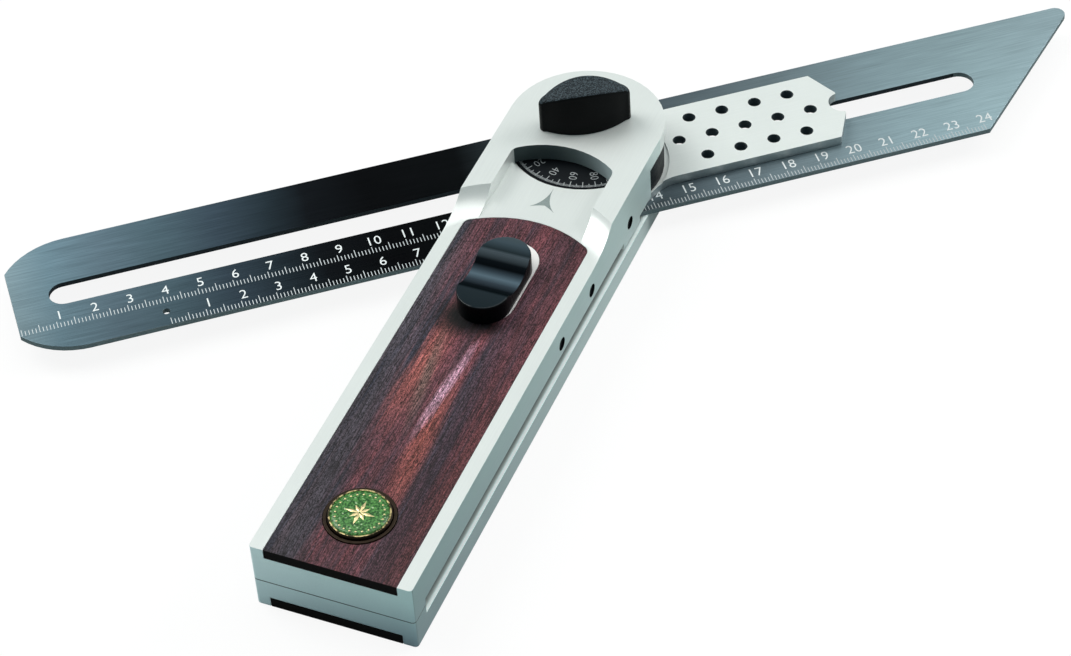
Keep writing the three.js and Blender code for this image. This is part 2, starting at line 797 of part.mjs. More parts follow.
// A ring of lens shape with rounded blunt ends: its near side, then the mirrored far side
function lensRing(length, width, endWidth, endRadius) {
  const sagitta = (width - endWidth) / 2;
  const flankReach = length / 2 - endRadius;
  const radius = (flankReach ** 2 + sagitta ** 2) / (2 * sagitta);
  const sweep = Math.asin(flankReach / radius);
  const corner = endWidth / 2 - endRadius;
  const side = new THREE.Path();
  side.absarc(-flankReach, -corner, endRadius, Math.PI, 1.5 * Math.PI - sweep);
  side.absarc(0, radius - width / 2, radius, -Math.PI / 2 - sweep, -Math.PI / 2 + sweep);
  side.absarc(flankReach, -corner, endRadius, -Math.PI / 2 + sweep, 0);
  const near = side.getPoints(knobArcSteps).filter(
    (point, index, all) => index === 0 || point.distanceTo(all[index - 1]) > shortestEdge,
  );
  const far = near.map((point) => new THREE.Vector2(point.x, -point.y));
  return near.concat(far.reverse());
}

// Closed body through mirrored rings of equal counts, capped by strips across
function loft(rings) {
  const count = rings[0].length;
  const positions = rings.flat().flatMap((point) => [point.x, point.y, point.z]);
  const index = [];
  for (let ring = 0; ring + 1 < rings.length; ring += 1) {
    for (let side = 0; side < count; side += 1) {
      const a = ring * count + side;
      const b = ring * count + ((side + 1) % count);
      index.push(a, b, b + count, a, b + count, a + count);
    }
  }
  const last = (rings.length - 1) * count;
  for (let near = 0; near + 1 < count / 2; near += 1) {
    const far = count - 1 - near;
    index.push(near, far, far - 1, near, far - 1, near + 1);
    index.push(last + near, last + near + 1, last + far - 1);
    index.push(last + near, last + far - 1, last + far);
  }
  const geometry = new THREE.BufferGeometry();
  geometry.setAttribute('position', new THREE.Float32BufferAttribute(positions, 3));
  geometry.setIndex(index);
  return toSolid(geometry);
}

function clampKnob() {
  const crownRadius = ((knobLength / 2) ** 2 + knobCrownHeight ** 2) / (2 * knobCrownHeight);
  const crownAt = (x) => Math.sqrt(crownRadius ** 2 - x ** 2) - crownRadius + knobCrownHeight;
  const foot = lensRing(knobLength, knobFootWidth, knobEndWidth, knobEndRadius);
  const ringAt = (share, inset) =>
    foot.map((point) => {
      const taper = 1 - (1 - knobTopWidth / knobFootWidth) * share;
      const shrink = 1 - (2 * inset) / knobLength;
      const x = point.x * shrink;
      const narrow = 1 - (2 * inset) / knobFootWidth;
      return new THREE.Vector3(
        x,
        point.y * taper * narrow,
        knobFoot + share * (knobEndHeight + crownAt(x)),
      );
    });
  const rings = [ringAt(0, 0)];
  for (let step = 0; step <= roundingSteps; step += 1) {
    const angle = (Math.PI / 2) * (step / roundingSteps);
    const drop = knobRoundingRadius * (1 - Math.sin(angle));
    const inset = knobRoundingRadius * (1 - Math.cos(angle));
    rings.push(ringAt(1, inset).map((point) => point.setZ(point.z - drop)));
  }
  const insertTop = knobFoot + boltThreadLength + fitPlay;
  const flangeTop = knobFoot + insertFlangeHeight + fitPlay;
  return loft(rings)
    .subtract(disc(insertRadius + fitPlay, knobFoot - cutOverrun, insertTop))
    .subtract(disc(insertFlangeRadius + fitPlay, knobFoot - cutOverrun, flangeTop));
}

function knobInsert() {
  const bore = boltRadius + fitPlay;
  const flangeTop = knobFoot + insertFlangeHeight;
  const top = knobFoot + boltThreadLength;
  const outside = revolved([
    [0, knobFoot],
    [insertFlangeRadius, knobFoot],
    [insertFlangeRadius, flangeTop],
    [insertRadius, flangeTop],
    [insertRadius, top],
    [0, top],
  ]);
  return outside.subtract(disc(bore, knobFoot - cutOverrun, top + cutOverrun));
}

// Thumb slider, drawn about its own middle on the inlay's face
function sliderKnob() {
  const geometry = new THREE.ExtrudeGeometry(
    stadium(sliderLength - 2 * sliderBevelWidth, sliderWidth - 2 * sliderBevelWidth),
    {
      depth: sliderHeight - sliderBevelWidth,
      bevelThickness: sliderBevelWidth,
      bevelSize: sliderBevelWidth,
      bevelSegments: sliderBevelSteps,
      curveSegments: sliderArcSteps,
    },
  );
  geometry.rotateZ(Math.PI / 2);
  const scoopRadius = ((scoopLength / 2) ** 2 + scoopDepth ** 2) / (2 * scoopDepth);
  const reach = sliderWidth / 2 + cutOverrun;
  const scoop = alongX(disc(scoopRadius, -reach, reach));
  const below = block(-reach, reach, -sliderLength, sliderLength, -sliderBevelWidth - cutOverrun, 0);
  return toSolid(geometry)
    .subtract(below)
    .subtract(scoop.translate([0, 0, sliderHeight - scoopDepth + scoopRadius]));
}

function sliderBar() {
  const half = barWidth / 2;
  const barTop = topPocketFloor - fitPlay;
  const bar = block(-half, half, -barLength / 2, barLength / 2, barBottom, barTop);
  const stem = prism(stadium(stemLength, stemWidth), barTop - fitPlay, handleHeight)
    .rotate([0, 0, 90]);
  const bore = alongY(disc(springRadius + 2 * springWireRadius, 0, springBoreDepth + cutOverrun));
  return bar
    .add(stem)
    .subtract(bore.translate([0, barLength / 2 - springBoreDepth, mechanismHeight]));
}

class Helix extends THREE.Curve {
  constructor(radius, turns, length) {
    super();
    this.radius = radius;
    this.turns = turns;
    this.length = length;
  }

  getPoint(share, target = new THREE.Vector3()) {
    const angle = 2 * Math.PI * this.turns * share;
    return target.set(
      this.radius * Math.cos(angle),
      this.length * share,
      this.radius * Math.sin(angle),
    );
  }
}

const plungerTail = barFront + plungerTailGap;

function stopSpring() {
  const wire = new THREE.Shape();
  wire.absarc(0, 0, springWireRadius, 0, 2 * Math.PI);
  const start = barFront - springBoreDepth + 2 * springWireRadius;
  const length = plungerTail - 2 * springWireRadius - start;
  const geometry = new THREE.ExtrudeGeometry(wire, {
    steps: springTurnSteps * springTurns,
    curveSegments: springArcSteps,
    bevelEnabled: false,
    extrudePath: new Helix(springRadius, springTurns, length),
  });
  geometry.translate(0, start, mechanismHeight);
  return toSolid(geometry);
}

function stopPlunger() {
  const length = noseTip - plungerTail;
  const profile = [
    [0, 0],
    [plungerRadius, 0],
    [plungerRadius, length - noseLength],
    [noseTipRadius, length],
    [0, length],
  ];
  return alongY(revolved(profile)).translate([0, plungerTail, mechanismHeight]);
}

function plungerBushing() {
  const tube = disc(bushingRadius, 0, bushingLength).subtract(
    disc(plungerRadius + fitPlay, -cutOverrun, bushingLength + cutOverrun),
  );
  return alongY(tube).translate([0, bushingBack, mechanismHeight]);
}

function sliderGuide() {
  const outer = block(
    -guideHalf, guideHalf,
    guideBack, guideFront,
    guideBottom, topPocketFloor - fitPlay,
  );
  const inner = barWidth / 2 + fitPlay;
  return outer.subtract(
    block(
      -inner, inner,
      guideBack - cutOverrun, guideFront + cutOverrun,
      guideBottom + guideFloorThickness, topPocketFloor + cutOverrun,
    ),
  );
}

// Assembly
const square = new THREE.Group();
const handle = new THREE.Group();
const rotor = new THREE.Group();
const clamp = new THREE.Group();
const slider = new THREE.Group();
square.add(handle, rotor, clamp, slider);
rotor.rotation.z = THREE.MathUtils.degToRad(bladeAngle);
clamp.rotation.z = THREE.MathUtils.degToRad(knobAngle);

placeSolid(handle, 'upper_shell', upperShell(), aluminium);
placeSolid(handle, 'lower_shell', lowerShell(), aluminium);
placeSolid(handle, 'top_inlay', topInlay(), rosewood);
placeSolid(handle, 'bottom_inlay', prism(inlayPlan(0), 0, bottomInlayDepth), rosewood);
placeSolid(handle, 'slide_plate', slidePlate(), aluminium);
placeSolid(handle, 'pivot_bolt', pivotBolt(), plainSteel);
placeSolid(handle, 'cap_washer', washer(), plainSteel);
placeSolid(handle, 'slider_guide', sliderGuide(), brass);
placeSolid(handle, 'plunger_bushing', plungerBushing(), brass);

const medallionMesh = placeSolid(handle, 'medallion', medallion(), greenEnamel);
const bezelMesh = placeSolid(handle, 'medallion_bezel', bezelCup(), bezelBronze);
medallionMesh.position.y = -medallionReach;
bezelMesh.position.y = -medallionReach;

sideScrewDepths().forEach((depth, index) => {
  const screw = placeSolid(handle, `side_screw_${index + 1}`, sideScrew(depth), darkSteel);
  screw.position.set(halfWidth - depth, -sideScrewReaches[index], mechanismHeight);
});

for (const [side, label] of [[-1, 'left'], [1, 'right']]) {
  const screw = placeSolid(handle, `end_screw_${label}`, endScrew(), darkSteel);
  screw.position.set((side * endScrewSpacing) / 2, endHoleY, 0);
  const pin = disc(dowelRadius, 0, dowelLength);
  const dowel = placeSolid(handle, `end_dowel_${label}`, pin, plainSteel);
  dowel.position.set((side * dowelSpacing) / 2, endHoleY, dowelBottom);
}

placeSolid(rotor, 'carrier', carrier(), aluminium);
placeSolid(rotor, 'protractor_drum', protractorDrum(), blackAnodised);
drumScrewPlaces().forEach(([x, y], index) => {
  const screw = placeSolid(rotor, `drum_screw_${index + 1}`, drumScrew(), darkSteel);
  screw.position.set(x, y, 0);
});
placeSolid(rotor, 'blade', blade(), bladeSteel);

placeSolid(clamp, 'clamp_knob', clampKnob(), blackPlastic);
placeSolid(clamp, 'knob_insert', knobInsert(), brass);

const thumb = placeSolid(slider, 'slider_knob', sliderKnob(), glossBlack);
thumb.position.set(0, -sliderReach, handleHeight + sliderGap);
const bar = placeSolid(slider, 'slider_bar', sliderBar(), plainSteel);
bar.position.y = -sliderReach;
placeSolid(slider, 'stop_plunger', stopPlunger(), plainSteel);
placeSolid(slider, 'stop_spring', stopSpring(), plainSteel);

export default square;
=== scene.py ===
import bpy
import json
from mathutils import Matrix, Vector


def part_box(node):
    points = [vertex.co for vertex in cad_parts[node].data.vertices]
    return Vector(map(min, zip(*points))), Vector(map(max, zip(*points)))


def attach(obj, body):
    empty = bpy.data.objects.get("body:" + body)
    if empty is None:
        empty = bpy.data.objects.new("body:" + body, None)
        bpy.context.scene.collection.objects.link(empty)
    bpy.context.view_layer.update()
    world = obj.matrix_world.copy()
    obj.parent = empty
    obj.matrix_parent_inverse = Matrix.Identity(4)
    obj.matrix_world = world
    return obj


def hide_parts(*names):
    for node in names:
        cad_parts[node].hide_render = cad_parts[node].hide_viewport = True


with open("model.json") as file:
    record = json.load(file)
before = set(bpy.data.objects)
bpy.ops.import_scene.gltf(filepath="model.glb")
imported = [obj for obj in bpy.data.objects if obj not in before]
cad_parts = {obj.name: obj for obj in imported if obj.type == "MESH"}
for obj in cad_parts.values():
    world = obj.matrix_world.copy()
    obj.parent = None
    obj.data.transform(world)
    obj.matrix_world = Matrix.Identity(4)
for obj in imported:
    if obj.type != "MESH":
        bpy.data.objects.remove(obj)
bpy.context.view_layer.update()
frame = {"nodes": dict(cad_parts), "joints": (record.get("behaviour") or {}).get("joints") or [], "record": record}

import json
import math

import bmesh
import bpy
from mathutils import Matrix, Vector

mm = 0.001
noiseSpan = (0.3, 0.7)  # where most of a noise lies
record = frame["record"]
bodyOf = {
    node: body
    for body, members in record["behaviour"]["bodies"].items()
    for node in members
}
slotOf = {entry["node"]: entry["material_slot"] for entry in record["subparts"]}
slideAxis = Vector(next(j for j in frame["joints"] if j["name"] == "blade_slide")["axis"])
bladeTurn = math.atan2(slideAxis.y, slideAxis.x)
bladeFrame = Matrix.Rotation(bladeTurn, 4, "Z")

print("frame loaded,", len(frame["nodes"]), "pieces")


# Building blocks for the finishes

def metres(values):
    return [value * mm for value in values]


def darker(color, share):
    return tuple(share * c for c in color)


def newFinish(name, color, roughness, metallic=0.0, **sockets):
    material = bpy.data.materials.new(name)
    material.use_nodes = True
    shader = material.node_tree.nodes["Principled BSDF"]
    shader.inputs["Base Color"].default_value = (*color, 1)
    shader.inputs["Roughness"].default_value = roughness
    shader.inputs["Metallic"].default_value = metallic
    for label, value in sockets.items():
        shader.inputs[label.replace("_", " ")].default_value = value
    return material, shader


def addNode(material, kind, inputs=None, **settings):
    node = material.node_tree.nodes.new(kind)
    for label, value in settings.items():
        setattr(node, label, value)
    for label, value in (inputs or {}).items():
        if isinstance(value, bpy.types.NodeSocket):
            material.node_tree.links.new(value, node.inputs[label])
        else:
            node.inputs[label].default_value = value
    return node


def join(material, value, shader, label):
    material.node_tree.links.new(value, shader.inputs[label])


def whereOn(material):  # the frame's own place, in metres
    return addNode(material, "ShaderNodeTexCoord").outputs["Object"]


def partsOf(material, where):
    return addNode(material, "ShaderNodeSeparateXYZ", {"Vector": where}).outputs


def placed(material, scale=(1, 1, 1), turn=0.0):  # turned about Z, then stretched
    where = whereOn(material)
    if turn:
        turned = addNode(material, "ShaderNodeMapping", {
            "Vector": where, "Rotation": (0, 0, -turn)})
        where = turned.outputs["Vector"]
    return addNode(material, "ShaderNodeMapping", {
        "Vector": where, "Scale": scale}).outputs["Vector"]


def noise(material, vector, scale=1.0, detail=4.0, roughness=0.55):
    return addNode(material, "ShaderNodeTexNoise", {
        "Vector": vector, "Scale": scale, "Detail": detail, "Roughness": roughness,
    }).outputs["Fac"]


def spread(material, value, low, high, toLow=0.0, toHigh=1.0):
    return addNode(material, "ShaderNodeMapRange", {
        "Value": value, "From Min": low, "From Max": high, "To Min": toLow, "To Max": toHigh,
    }).outputs["Result"]


def mixed(material, factor, first, second, blend="MIX"):
    node = addNode(material, "ShaderNodeMix", data_type="RGBA", blend_type=blend)
    for label, value in (("Factor", factor), ("A", first), ("B", second)):
        socket = next(s for s in node.inputs if s.name == label and s.enabled)
        if isinstance(value, bpy.types.NodeSocket):
            material.node_tree.links.new(value, socket)
        elif label == "Factor":
            socket.default_value = value
        else:
            socket.default_value = (*value, 1)
    return next(s for s in node.outputs if s.enabled)


def reckon(material, operation, first, second=0.0):
    node = addNode(material, "ShaderNodeMath", {0: first, 1: second}, operation=operation)
    return node.outputs[0]


def plus(material, first, second):
    return reckon(material, "ADD", first, second)


def times(material, first, second):
    return reckon(material, "MULTIPLY", first, second)


def apart(material, value, middle=0.0):
    return reckon(material, "ABSOLUTE", reckon(material, "SUBTRACT", value, middle))


def swayed(material, value, drift, reach):  # a place, shifted to and fro by a noise
    sway = times(material, reckon(material, "SUBTRACT", drift, 0.5), reach)
    return plus(material, value, sway)


def bump(material, shader, height, strength, distance):
    node = addNode(material, "ShaderNodeBump", {
        "Height": height, "Strength": strength, "Distance": distance})
    join(material, node.outputs["Normal"], shader, "Normal")


def alongRamp(material, value, bands):  # tones at places in millimetres
    first, last = bands[0][0], bands[-1][0]
    ramp = addNode(material, "ShaderNodeValToRGB", {
        "Fac": spread(material, value, first * mm, last * mm)})
    stops = ramp.color_ramp.elements
    while len(stops) < len(bands):
        stops.new(0.5)
    for stop, (along, color) in zip(stops, bands):
        stop.position = (along - first) / (last - first)
        stop.color = (*color, 1)
    return ramp.outputs["Color"]


# Satin aluminium with a fine grain along the piece

aluminiumLook = {
    "top": (0.78, 0.815, 0.80),
    # the slide plate's paler tone is a painted highlight along the slider's right edge
    "plateGlintTop": (0.98, 0.94, 0.93),
    "roughness": 0.3,
    "rough": (0.28, 0.33),
    "metallic": 0.3,
    "grainAcross": 3200,
    "grainAlong": 55,
    "grainTone": (0.3, 0.7, 1.0, 0.965),
    "grainBump": 0.15,
    "grainDepth": 0.002 * mm,
    "clouds": 60,
    "cloudTone": (0.35, 0.65, 1.0, 0.975),
    # a dark line painted as the shadow in the seam between the halves
    "seamShadow": (0.03, 0.04, 0.045),
    "seamShadowHalf": 0.17 * mm,
    "seamShadowReach": 7.0 * mm,  # how far it runs back along the sides
    "shadeRise": (2, 17),  # painted shade: from the darker low tones to the high ones, in millimetres
    "sideShadeTones": {  # painted shade and tint of the sides: near the closed end and near the head
        "axis": "Y",
        "span": (-173, -20),
        "low": ((0.33, 0.41, 0.44), (0.74, 0.82, 0.82)),
        "high": ((0.31, 0.42, 0.43), (0.61, 0.72, 0.71)),
    },
    "endShadeTones": {  # painted shade and tint of the flat end, left and right
        "axis": "X",
        "span": (-22, 22),
        "low": ((0.68, 0.82, 0.86), (0.3, 0.4, 0.46)),
        "high": ((0.85, 0.98, 1.0), (0.6, 0.78, 0.79)),
    },
}


def toneAcross(material, parts, tones):  # four corner tones of painted shade, blended over a face
    share = spread(material, parts[tones["axis"]], *metres(tones["span"]))
    rise = spread(material, parts["Z"], *metres(aluminiumLook["shadeRise"]))
    return mixed(material, rise, mixed(material, share, *tones["low"]),
                 mixed(material, share, *tones["high"]))


def seamLine(material, parts):  # painted shadow line where the handle's halves meet round its closed end
    low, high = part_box("lower_shell")
    line = reckon(material, "LESS_THAN", apart(material, parts["Z"], high.z),
                  aluminiumLook["seamShadowHalf"])
    ahead = reckon(material, "LESS_THAN", parts["Y"], low.y + aluminiumLook["seamShadowReach"])
    return times(material, line, ahead)


def satinAluminium(name, top=aluminiumLook["top"], turn=0.0, tones=None):
    look = aluminiumLook
    material, shader = newFinish(name, top, look["roughness"], look["metallic"])
    across, along = look["grainAcross"], look["grainAlong"]
    scale = (along, across, across) if turn else (across, along, across)
    hairs = noise(material, placed(material, scale, turn), detail=3)
    clouds = noise(material, placed(material, (look["clouds"],) * 3, turn), detail=3)
    grit = times(material, spread(material, hairs, *look["grainTone"]),
                 spread(material, clouds, *look["cloudTone"]))
    tone = top
    if tones:
        parts = partsOf(material, whereOn(material))
        tone = toneAcross(material, parts, tones)
    tone = mixed(material, 1.0, tone, grit, "MULTIPLY")
    if tones:
        tone = mixed(material, seamLine(material, parts), tone, look["seamShadow"])
    join(material, tone, shader, "Base Color")
    join(material, spread(material, hairs, *noiseSpan, *look["rough"]), shader, "Roughness")
    bump(material, shader, hairs, look["grainBump"], look["grainDepth"])
    return material


# Floor of the handle's side slot: painted light and a faint painted glow at the slot's edge, painted shade further
# in

slotLightLook = {
    "color": (0.78, 0.815, 0.80),
    "lit": (0.9, 1.0, 0.99),
    "glow": (0.86, 1.0, 0.99),
    "roughness": 0.5,
    "metallic": 0.1,
    "stops": (  # millimetres from the handle's middle, painted tone and glow there
        (20.4, 0.3, 0.0),
        (20.8, 0.42, 0.0),
        (21.2, 0.66, 0.01),
        (21.9, 1.0, 0.2),
    ),
}


def slotFloor():
    look = slotLightLook
    material, shader = newFinish("slotFloor", look["color"], look["roughness"], look["metallic"])
    away = apart(material, partsOf(material, whereOn(material))["X"])
    stops = look["stops"]
    tone, glow = stops[0][1:]
    for (start, toneHere, glowHere), (end, toneThere, glowThere) in zip(stops, stops[1:]):
        span = metres((start, end))
        tone = plus(material, tone, spread(material, away, *span, 0, toneThere - toneHere))
        glow = plus(material, glow, spread(material, away, *span, 0, glowThere - glowHere))
    join(material, mixed(material, 1.0, look["lit"], tone, "MULTIPLY"), shader, "Base Color")
    shader.inputs["Emission Color"].default_value = (*look["glow"], 1)
    join(material, glow, shader, "Emission Strength")
    return material


# Blue-grey ground steel with a painted reflection: near-black beside the handle, a lighter painted sheen towards
# both ends, painted shade beside the plate

bladeLook = {
    "tones": [  # millimetres along from the pivot, and the painted tone there
        (-168, (0.25, 0.345, 0.39)),
        (-156, (0.178, 0.279, 0.337)),
        (-140, (0.13, 0.195, 0.242)),
        (-124, (0.089, 0.144, 0.178)),
        (-108, (0.05, 0.077, 0.105)),
        (-92, (0.021, 0.034, 0.045)),
        (-80, (0.006, 0.008, 0.011)),
        (-62, (0.0015, 0.002, 0.003)),
        (-34, (0.002, 0.003, 0.004)),
        (32, (0.125, 0.165, 0.19)),
        (60, (0.19, 0.25, 0.28)),
        (92, (0.295, 0.405, 0.45)),
        (122, (0.345, 0.47, 0.515)),
        (158, (0.4, 0.53, 0.585)),
    ],
    "gain": 0.86,
    "across": (-22, 22),  # its lower and upper edge
    "tipEdges": (1.14, 0.84),  # painted tone at the lower and upper edge, towards the tip and towards the tail
    "tailEdges": (0.78, 1.2),
    "tailToTip": (-20, 30),
    "grain": (70, 3600, 3600),
    "grainTone": (0.25, 0.75, 0.84, 1.16),
    "grainBump": 0.3,
    "grainDepth": 0.003 * mm,
    "clouds": (28, 45, 28),
    "cloudSway": 8 * mm,
    "roughness": 0.34,
    "rough": (0.3, 0.42),
    "metallic": 0.55,
    "specular": 0.03,
}


def groundSteel():
    look = bladeLook
    material, shader = newFinish("groundSteel", look["tones"][0][1], look["roughness"],
                                 look["metallic"], Specular_IOR_Level=look["specular"])
    parts = partsOf(material, placed(material, turn=bladeTurn))
    hairs = noise(material, placed(material, look["grain"], bladeTurn), detail=3)
    clouds = noise(material, placed(material, look["clouds"], bladeTurn), detail=4)
    along = swayed(material, parts["X"], clouds, look["cloudSway"])
    tones = alongRamp(material, along, [
        (spot, darker(color, look["gain"])) for spot, color in look["tones"]])
    tailLift, tipLift = [spread(material, parts["Y"], *metres(look["across"]), *look[edges])
                         for edges in ("tailEdges", "tipEdges")]
    tip = spread(material, parts["X"], *metres(look["tailToTip"]))
    lift = mixed(material, tip, tailLift, tipLift)
    grain = spread(material, hairs, *look["grainTone"])
    tone = mixed(material, 1.0, tones, times(material, lift, grain), "MULTIPLY")
    join(material, tone, shader, "Base Color")
    join(material, spread(material, hairs, *noiseSpan, *look["rough"]), shader, "Roughness")
    bump(material, shader, hairs, look["grainBump"], look["grainDepth"])
    return material


# Rosewood: straight plum and red streaks, blue-black veins, open pores, satin lacquer

woodLook = {
    "plum": (0.054, 0.032, 0.045),
    "red": (0.145, 0.044, 0.054),
    "vein": (0.018, 0.019, 0.03),
    "pore": (0.006, 0.004, 0.005),
    "roughness": 0.45,
    "specular": 0.2,
    "coat": 0.04,
    "coatRoughness": 0.25,
    "stretch": 0.028,  # how slowly the figure changes along the grain
    "wander": (40, 14, 40),
    "wanderReach": 3 * mm,
    "broad": 260,
    "streaks": 900,
    "threads": 3400,
    "speckle": (3600, 1500, 3600),
    "pores": (3000, 420, 3000),
    "redFrom": (0.36, 0.64),
    "veinFrom": (0.5, 0.33),
    "veinShare": (0.62, 0.4, 0.25, 0.95),
    "threadTone": (0.36, 0.64, 0.3, 1.75),
    "speckleTone": (0.36, 0.64, 0.25, 1.85),
    "poreFrom": (0.34, 0.27),
    "poreRough": (0.3, 0.5, 0.6, 0.45),
    "bump": 0.25,
    "bumpDepth": 0.01 * mm,
    "figureSheenShadow": [  # middle and half size in millimetres, lean in degrees, colour, strength
        ((-7, -100), (5.5, 30), 0, (0.29, 0.085, 0.07), 0.75),
        ((4.5, -128), (4, 34), 3, (0.3, 0.08, 0.06), 0.75),
        ((-4, -104), (2.2, 24), 8, (0.12, 0.088, 0.075), 0.7),
        ((11.5, -125), (3.2, 75), 1, (0.028, 0.024, 0.038), 0.8),
        ((1.5, -90), (2, 16), -2, (0.03, 0.02, 0.028), 0.7),
        ((-9, -150), (2.6, 40), -4, (0.028, 0.03, 0.045), 0.7),
        ((17, -150), (2.6, 60), 0, (0.19, 0.055, 0.055), 0.6),
        # painted reflection: a pale pink sheen streak
        ((2.4, -107), (1.9, 22), -3.5, (0.56, 0.33, 0.45), 0.8),
        # painted shadow under the slider's front
        ((-5.2, -79.5), (8.5, 9), 0, (0.002, 0.0015, 0.002), 1),
        ((-2.5, -81.5), (10, 7.5), 0, (0.002, 0.0015, 0.002), 1),
        ((3, -81), (8, 6.5), 0, (0.002, 0.0015, 0.002), 1),
    ],
    "patchDepth": 1000,  # a patch is the same at any depth
    "patchFade": (1.0, 0.15),
    "raggedReach": 2.6 * mm,
    "shades": [  # towards the closed end, the arched end and the right edge
        ("Y", (-135, -88), (0.7, 1.0)),
        ("Y", (-60, -46), (1.0, 0.74)),
        ("X", (8, 14), (1.0, 0.66)),
    ],
    "paleEdge": (0.052, 0.046, 0.058),
    "edgeSlope": 0.055,
    "edgeOffset": 17.6 * mm,
    "edgeReach": 9 * mm,
    "edgeFade": (2, -3),
    "edgeShare": 0.85,
}


def patchOf(material, where, middle, half, lean, strength):  # fades to nothing at its rim
    node = addNode(material, "ShaderNodeMapping", {
        "Vector": where,
        "Location": (*metres(middle), 0),
        "Rotation": (0, 0, math.radians(lean)),
        "Scale": (*metres(half), woodLook["patchDepth"]),
    }, vector_type="TEXTURE")
    away = addNode(material, "ShaderNodeVectorMath", {0: node.outputs["Vector"]},
                   operation="LENGTH").outputs["Value"]
    return spread(material, away, *woodLook["patchFade"], 0, strength)


def woodFigure(material, tone, parts, streaks):  # the top's own streaks and pale left edge, with a painted reflection streak and the slider's painted shadow
    look = woodLook
    ragged = addNode(material, "ShaderNodeCombineXYZ", {
        "X": swayed(material, parts["X"], streaks, look["raggedReach"]),
        "Y": parts["Y"],
    }).outputs["Vector"]
    for middle, half, lean, color, strength in look["figureSheenShadow"]:
        patch = patchOf(material, ragged, middle, half, lean, strength)
        tone = mixed(material, patch, tone, color)
    slope = times(material, parts["Y"], look["edgeSlope"])
    along = plus(material, plus(material, parts["X"], slope), look["edgeOffset"])
    along = swayed(material, along, streaks, look["edgeReach"])
    pale = spread(material, along, *metres(look["edgeFade"]), 0, look["edgeShare"])
    return mixed(material, pale, tone, look["paleEdge"])


def rosewood(name, figuredSheenShadow):
    look = woodLook
    material, shader = newFinish(
        name, look["plum"], look["roughness"], Specular_IOR_Level=look["specular"],
        Coat_Weight=look["coat"], Coat_Roughness=look["coatRoughness"])
    parts = partsOf(material, whereOn(material))
    wander = noise(material, placed(material, look["wander"]), detail=2)
    grainPlace = addNode(material, "ShaderNodeCombineXYZ", {
        "X": swayed(material, parts["X"], wander, look["wanderReach"]),
        "Y": times(material, parts["Y"], look["stretch"]),
        "Z": parts["Z"],
    }).outputs["Vector"]
    broad = noise(material, grainPlace, look["broad"], detail=2)
    streaks = noise(material, grainPlace, look["streaks"], detail=4, roughness=0.6)
    threads = noise(material, grainPlace, look["threads"], detail=3, roughness=0.7)
    speckle = noise(material, placed(material, look["speckle"]), detail=2, roughness=0.7)
    pores = noise(material, placed(material, look["pores"]), detail=1)
    tone = mixed(material, spread(material, broad, *look["redFrom"]), look["plum"], look["red"])
    if figuredSheenShadow:
        tone = woodFigure(material, tone, parts, streaks)
    for axis, span, shades in look["shades"]:
        shade = spread(material, parts[axis], *metres(span), *shades)
        tone = mixed(material, 1.0, tone, shade, "MULTIPLY")
    veins = times(material, spread(material, streaks, *look["veinFrom"]),
                  spread(material, broad, *look["veinShare"]))
    tone = mixed(material, veins, tone, look["vein"])
    grit = times(material, spread(material, threads, *look["threadTone"]),
                 spread(material, speckle, *look["speckleTone"]))
    tone = mixed(material, 1.0, tone, grit, "MULTIPLY")
    tone = mixed(material, spread(material, pores, *look["poreFrom"]), tone, look["pore"])
    join(material, tone, shader, "Base Color")
    join(material, spread(material, pores, *look["poreRough"]), shader, "Roughness")
    bump(material, shader, plus(material, pores, threads), look["bump"], look["bumpDepth"])
    return material


# Clamp knob: black plastic with pale flecks; its top painted lighter as painted light from above

gripLook = {
    "side": (0.0035, 0.0038, 0.0042),
    # the top is painted lighter than the sides: painted light from above, with more flecks
    "top": (0.011, 0.015, 0.018),
    "fleck": (0.07, 0.092, 0.107),
    "sideFlecksFrom": 0.6,
    "topFlecksFrom": 0.46,
    "fleckSpan": 0.16,
    "roughness": 0.5,
    "rough": (0.42, 0.62),
    "specular": 0.08,
    "grit": 2600,
    "gritBump": 0.6,
    "gritDepth": 0.06 * mm,
}


def texturedBlack(name, ground, fleck, flecksFrom):
    look = gripLook
    material, shader = newFinish(name, ground, look["roughness"],
                                 Specular_IOR_Level=look["specular"])
    grit = noise(material, placed(material), look["grit"], detail=3, roughness=0.65)
    flecks = spread(material, grit, flecksFrom, flecksFrom + look["fleckSpan"])
    join(material, mixed(material, flecks, ground, fleck), shader, "Base Color")
    join(material, spread(material, grit, *noiseSpan, *look["rough"]), shader, "Roughness")
    bump(material, shader, grit, look["gritBump"], look["gritDepth"])
    return material


# Thumb slider: polished black, with the studio's reflections laid on its top as soft bands

glossLook = {
    "color": (0.0015, 0.0022, 0.003),
    "roughness": 0.3,
    "rough": (0.26, 0.36),
    "specular": 0.08,
    "coat": 0.3,
    "coatRoughness": 0.1,
    "coatFrom": (7.8, 8.2),
    "swirl": (300, 1800, 300),
    "swirlBump": 0.12,
    "swirlDepth": 0.004 * mm,
    "bands": [  # along the slider from its middle in millimetres, and the tone there
        (-14.5, (0.01, 0.016, 0.02)),
        (-8, (0.014, 0.021, 0.026)),
        (-7.3, (0.002, 0.004, 0.005)),
        (-4.8, (0.004, 0.006, 0.008)),
        (-2, (0.028, 0.04, 0.052)),
        (0.2, (0.08, 0.12, 0.15)),
        (2, (0.032, 0.048, 0.062)),
        (3.6, (0.002, 0.003, 0.004)),
        (5.2, (0.004, 0.006, 0.008)),
        (7.1, (0.065, 0.085, 0.1)),
        (8.5, (0.011, 0.018, 0.022)),
        (11.8, (0.04, 0.06, 0.075)),
        (14.5, (0.05, 0.07, 0.08)),
    ],
}


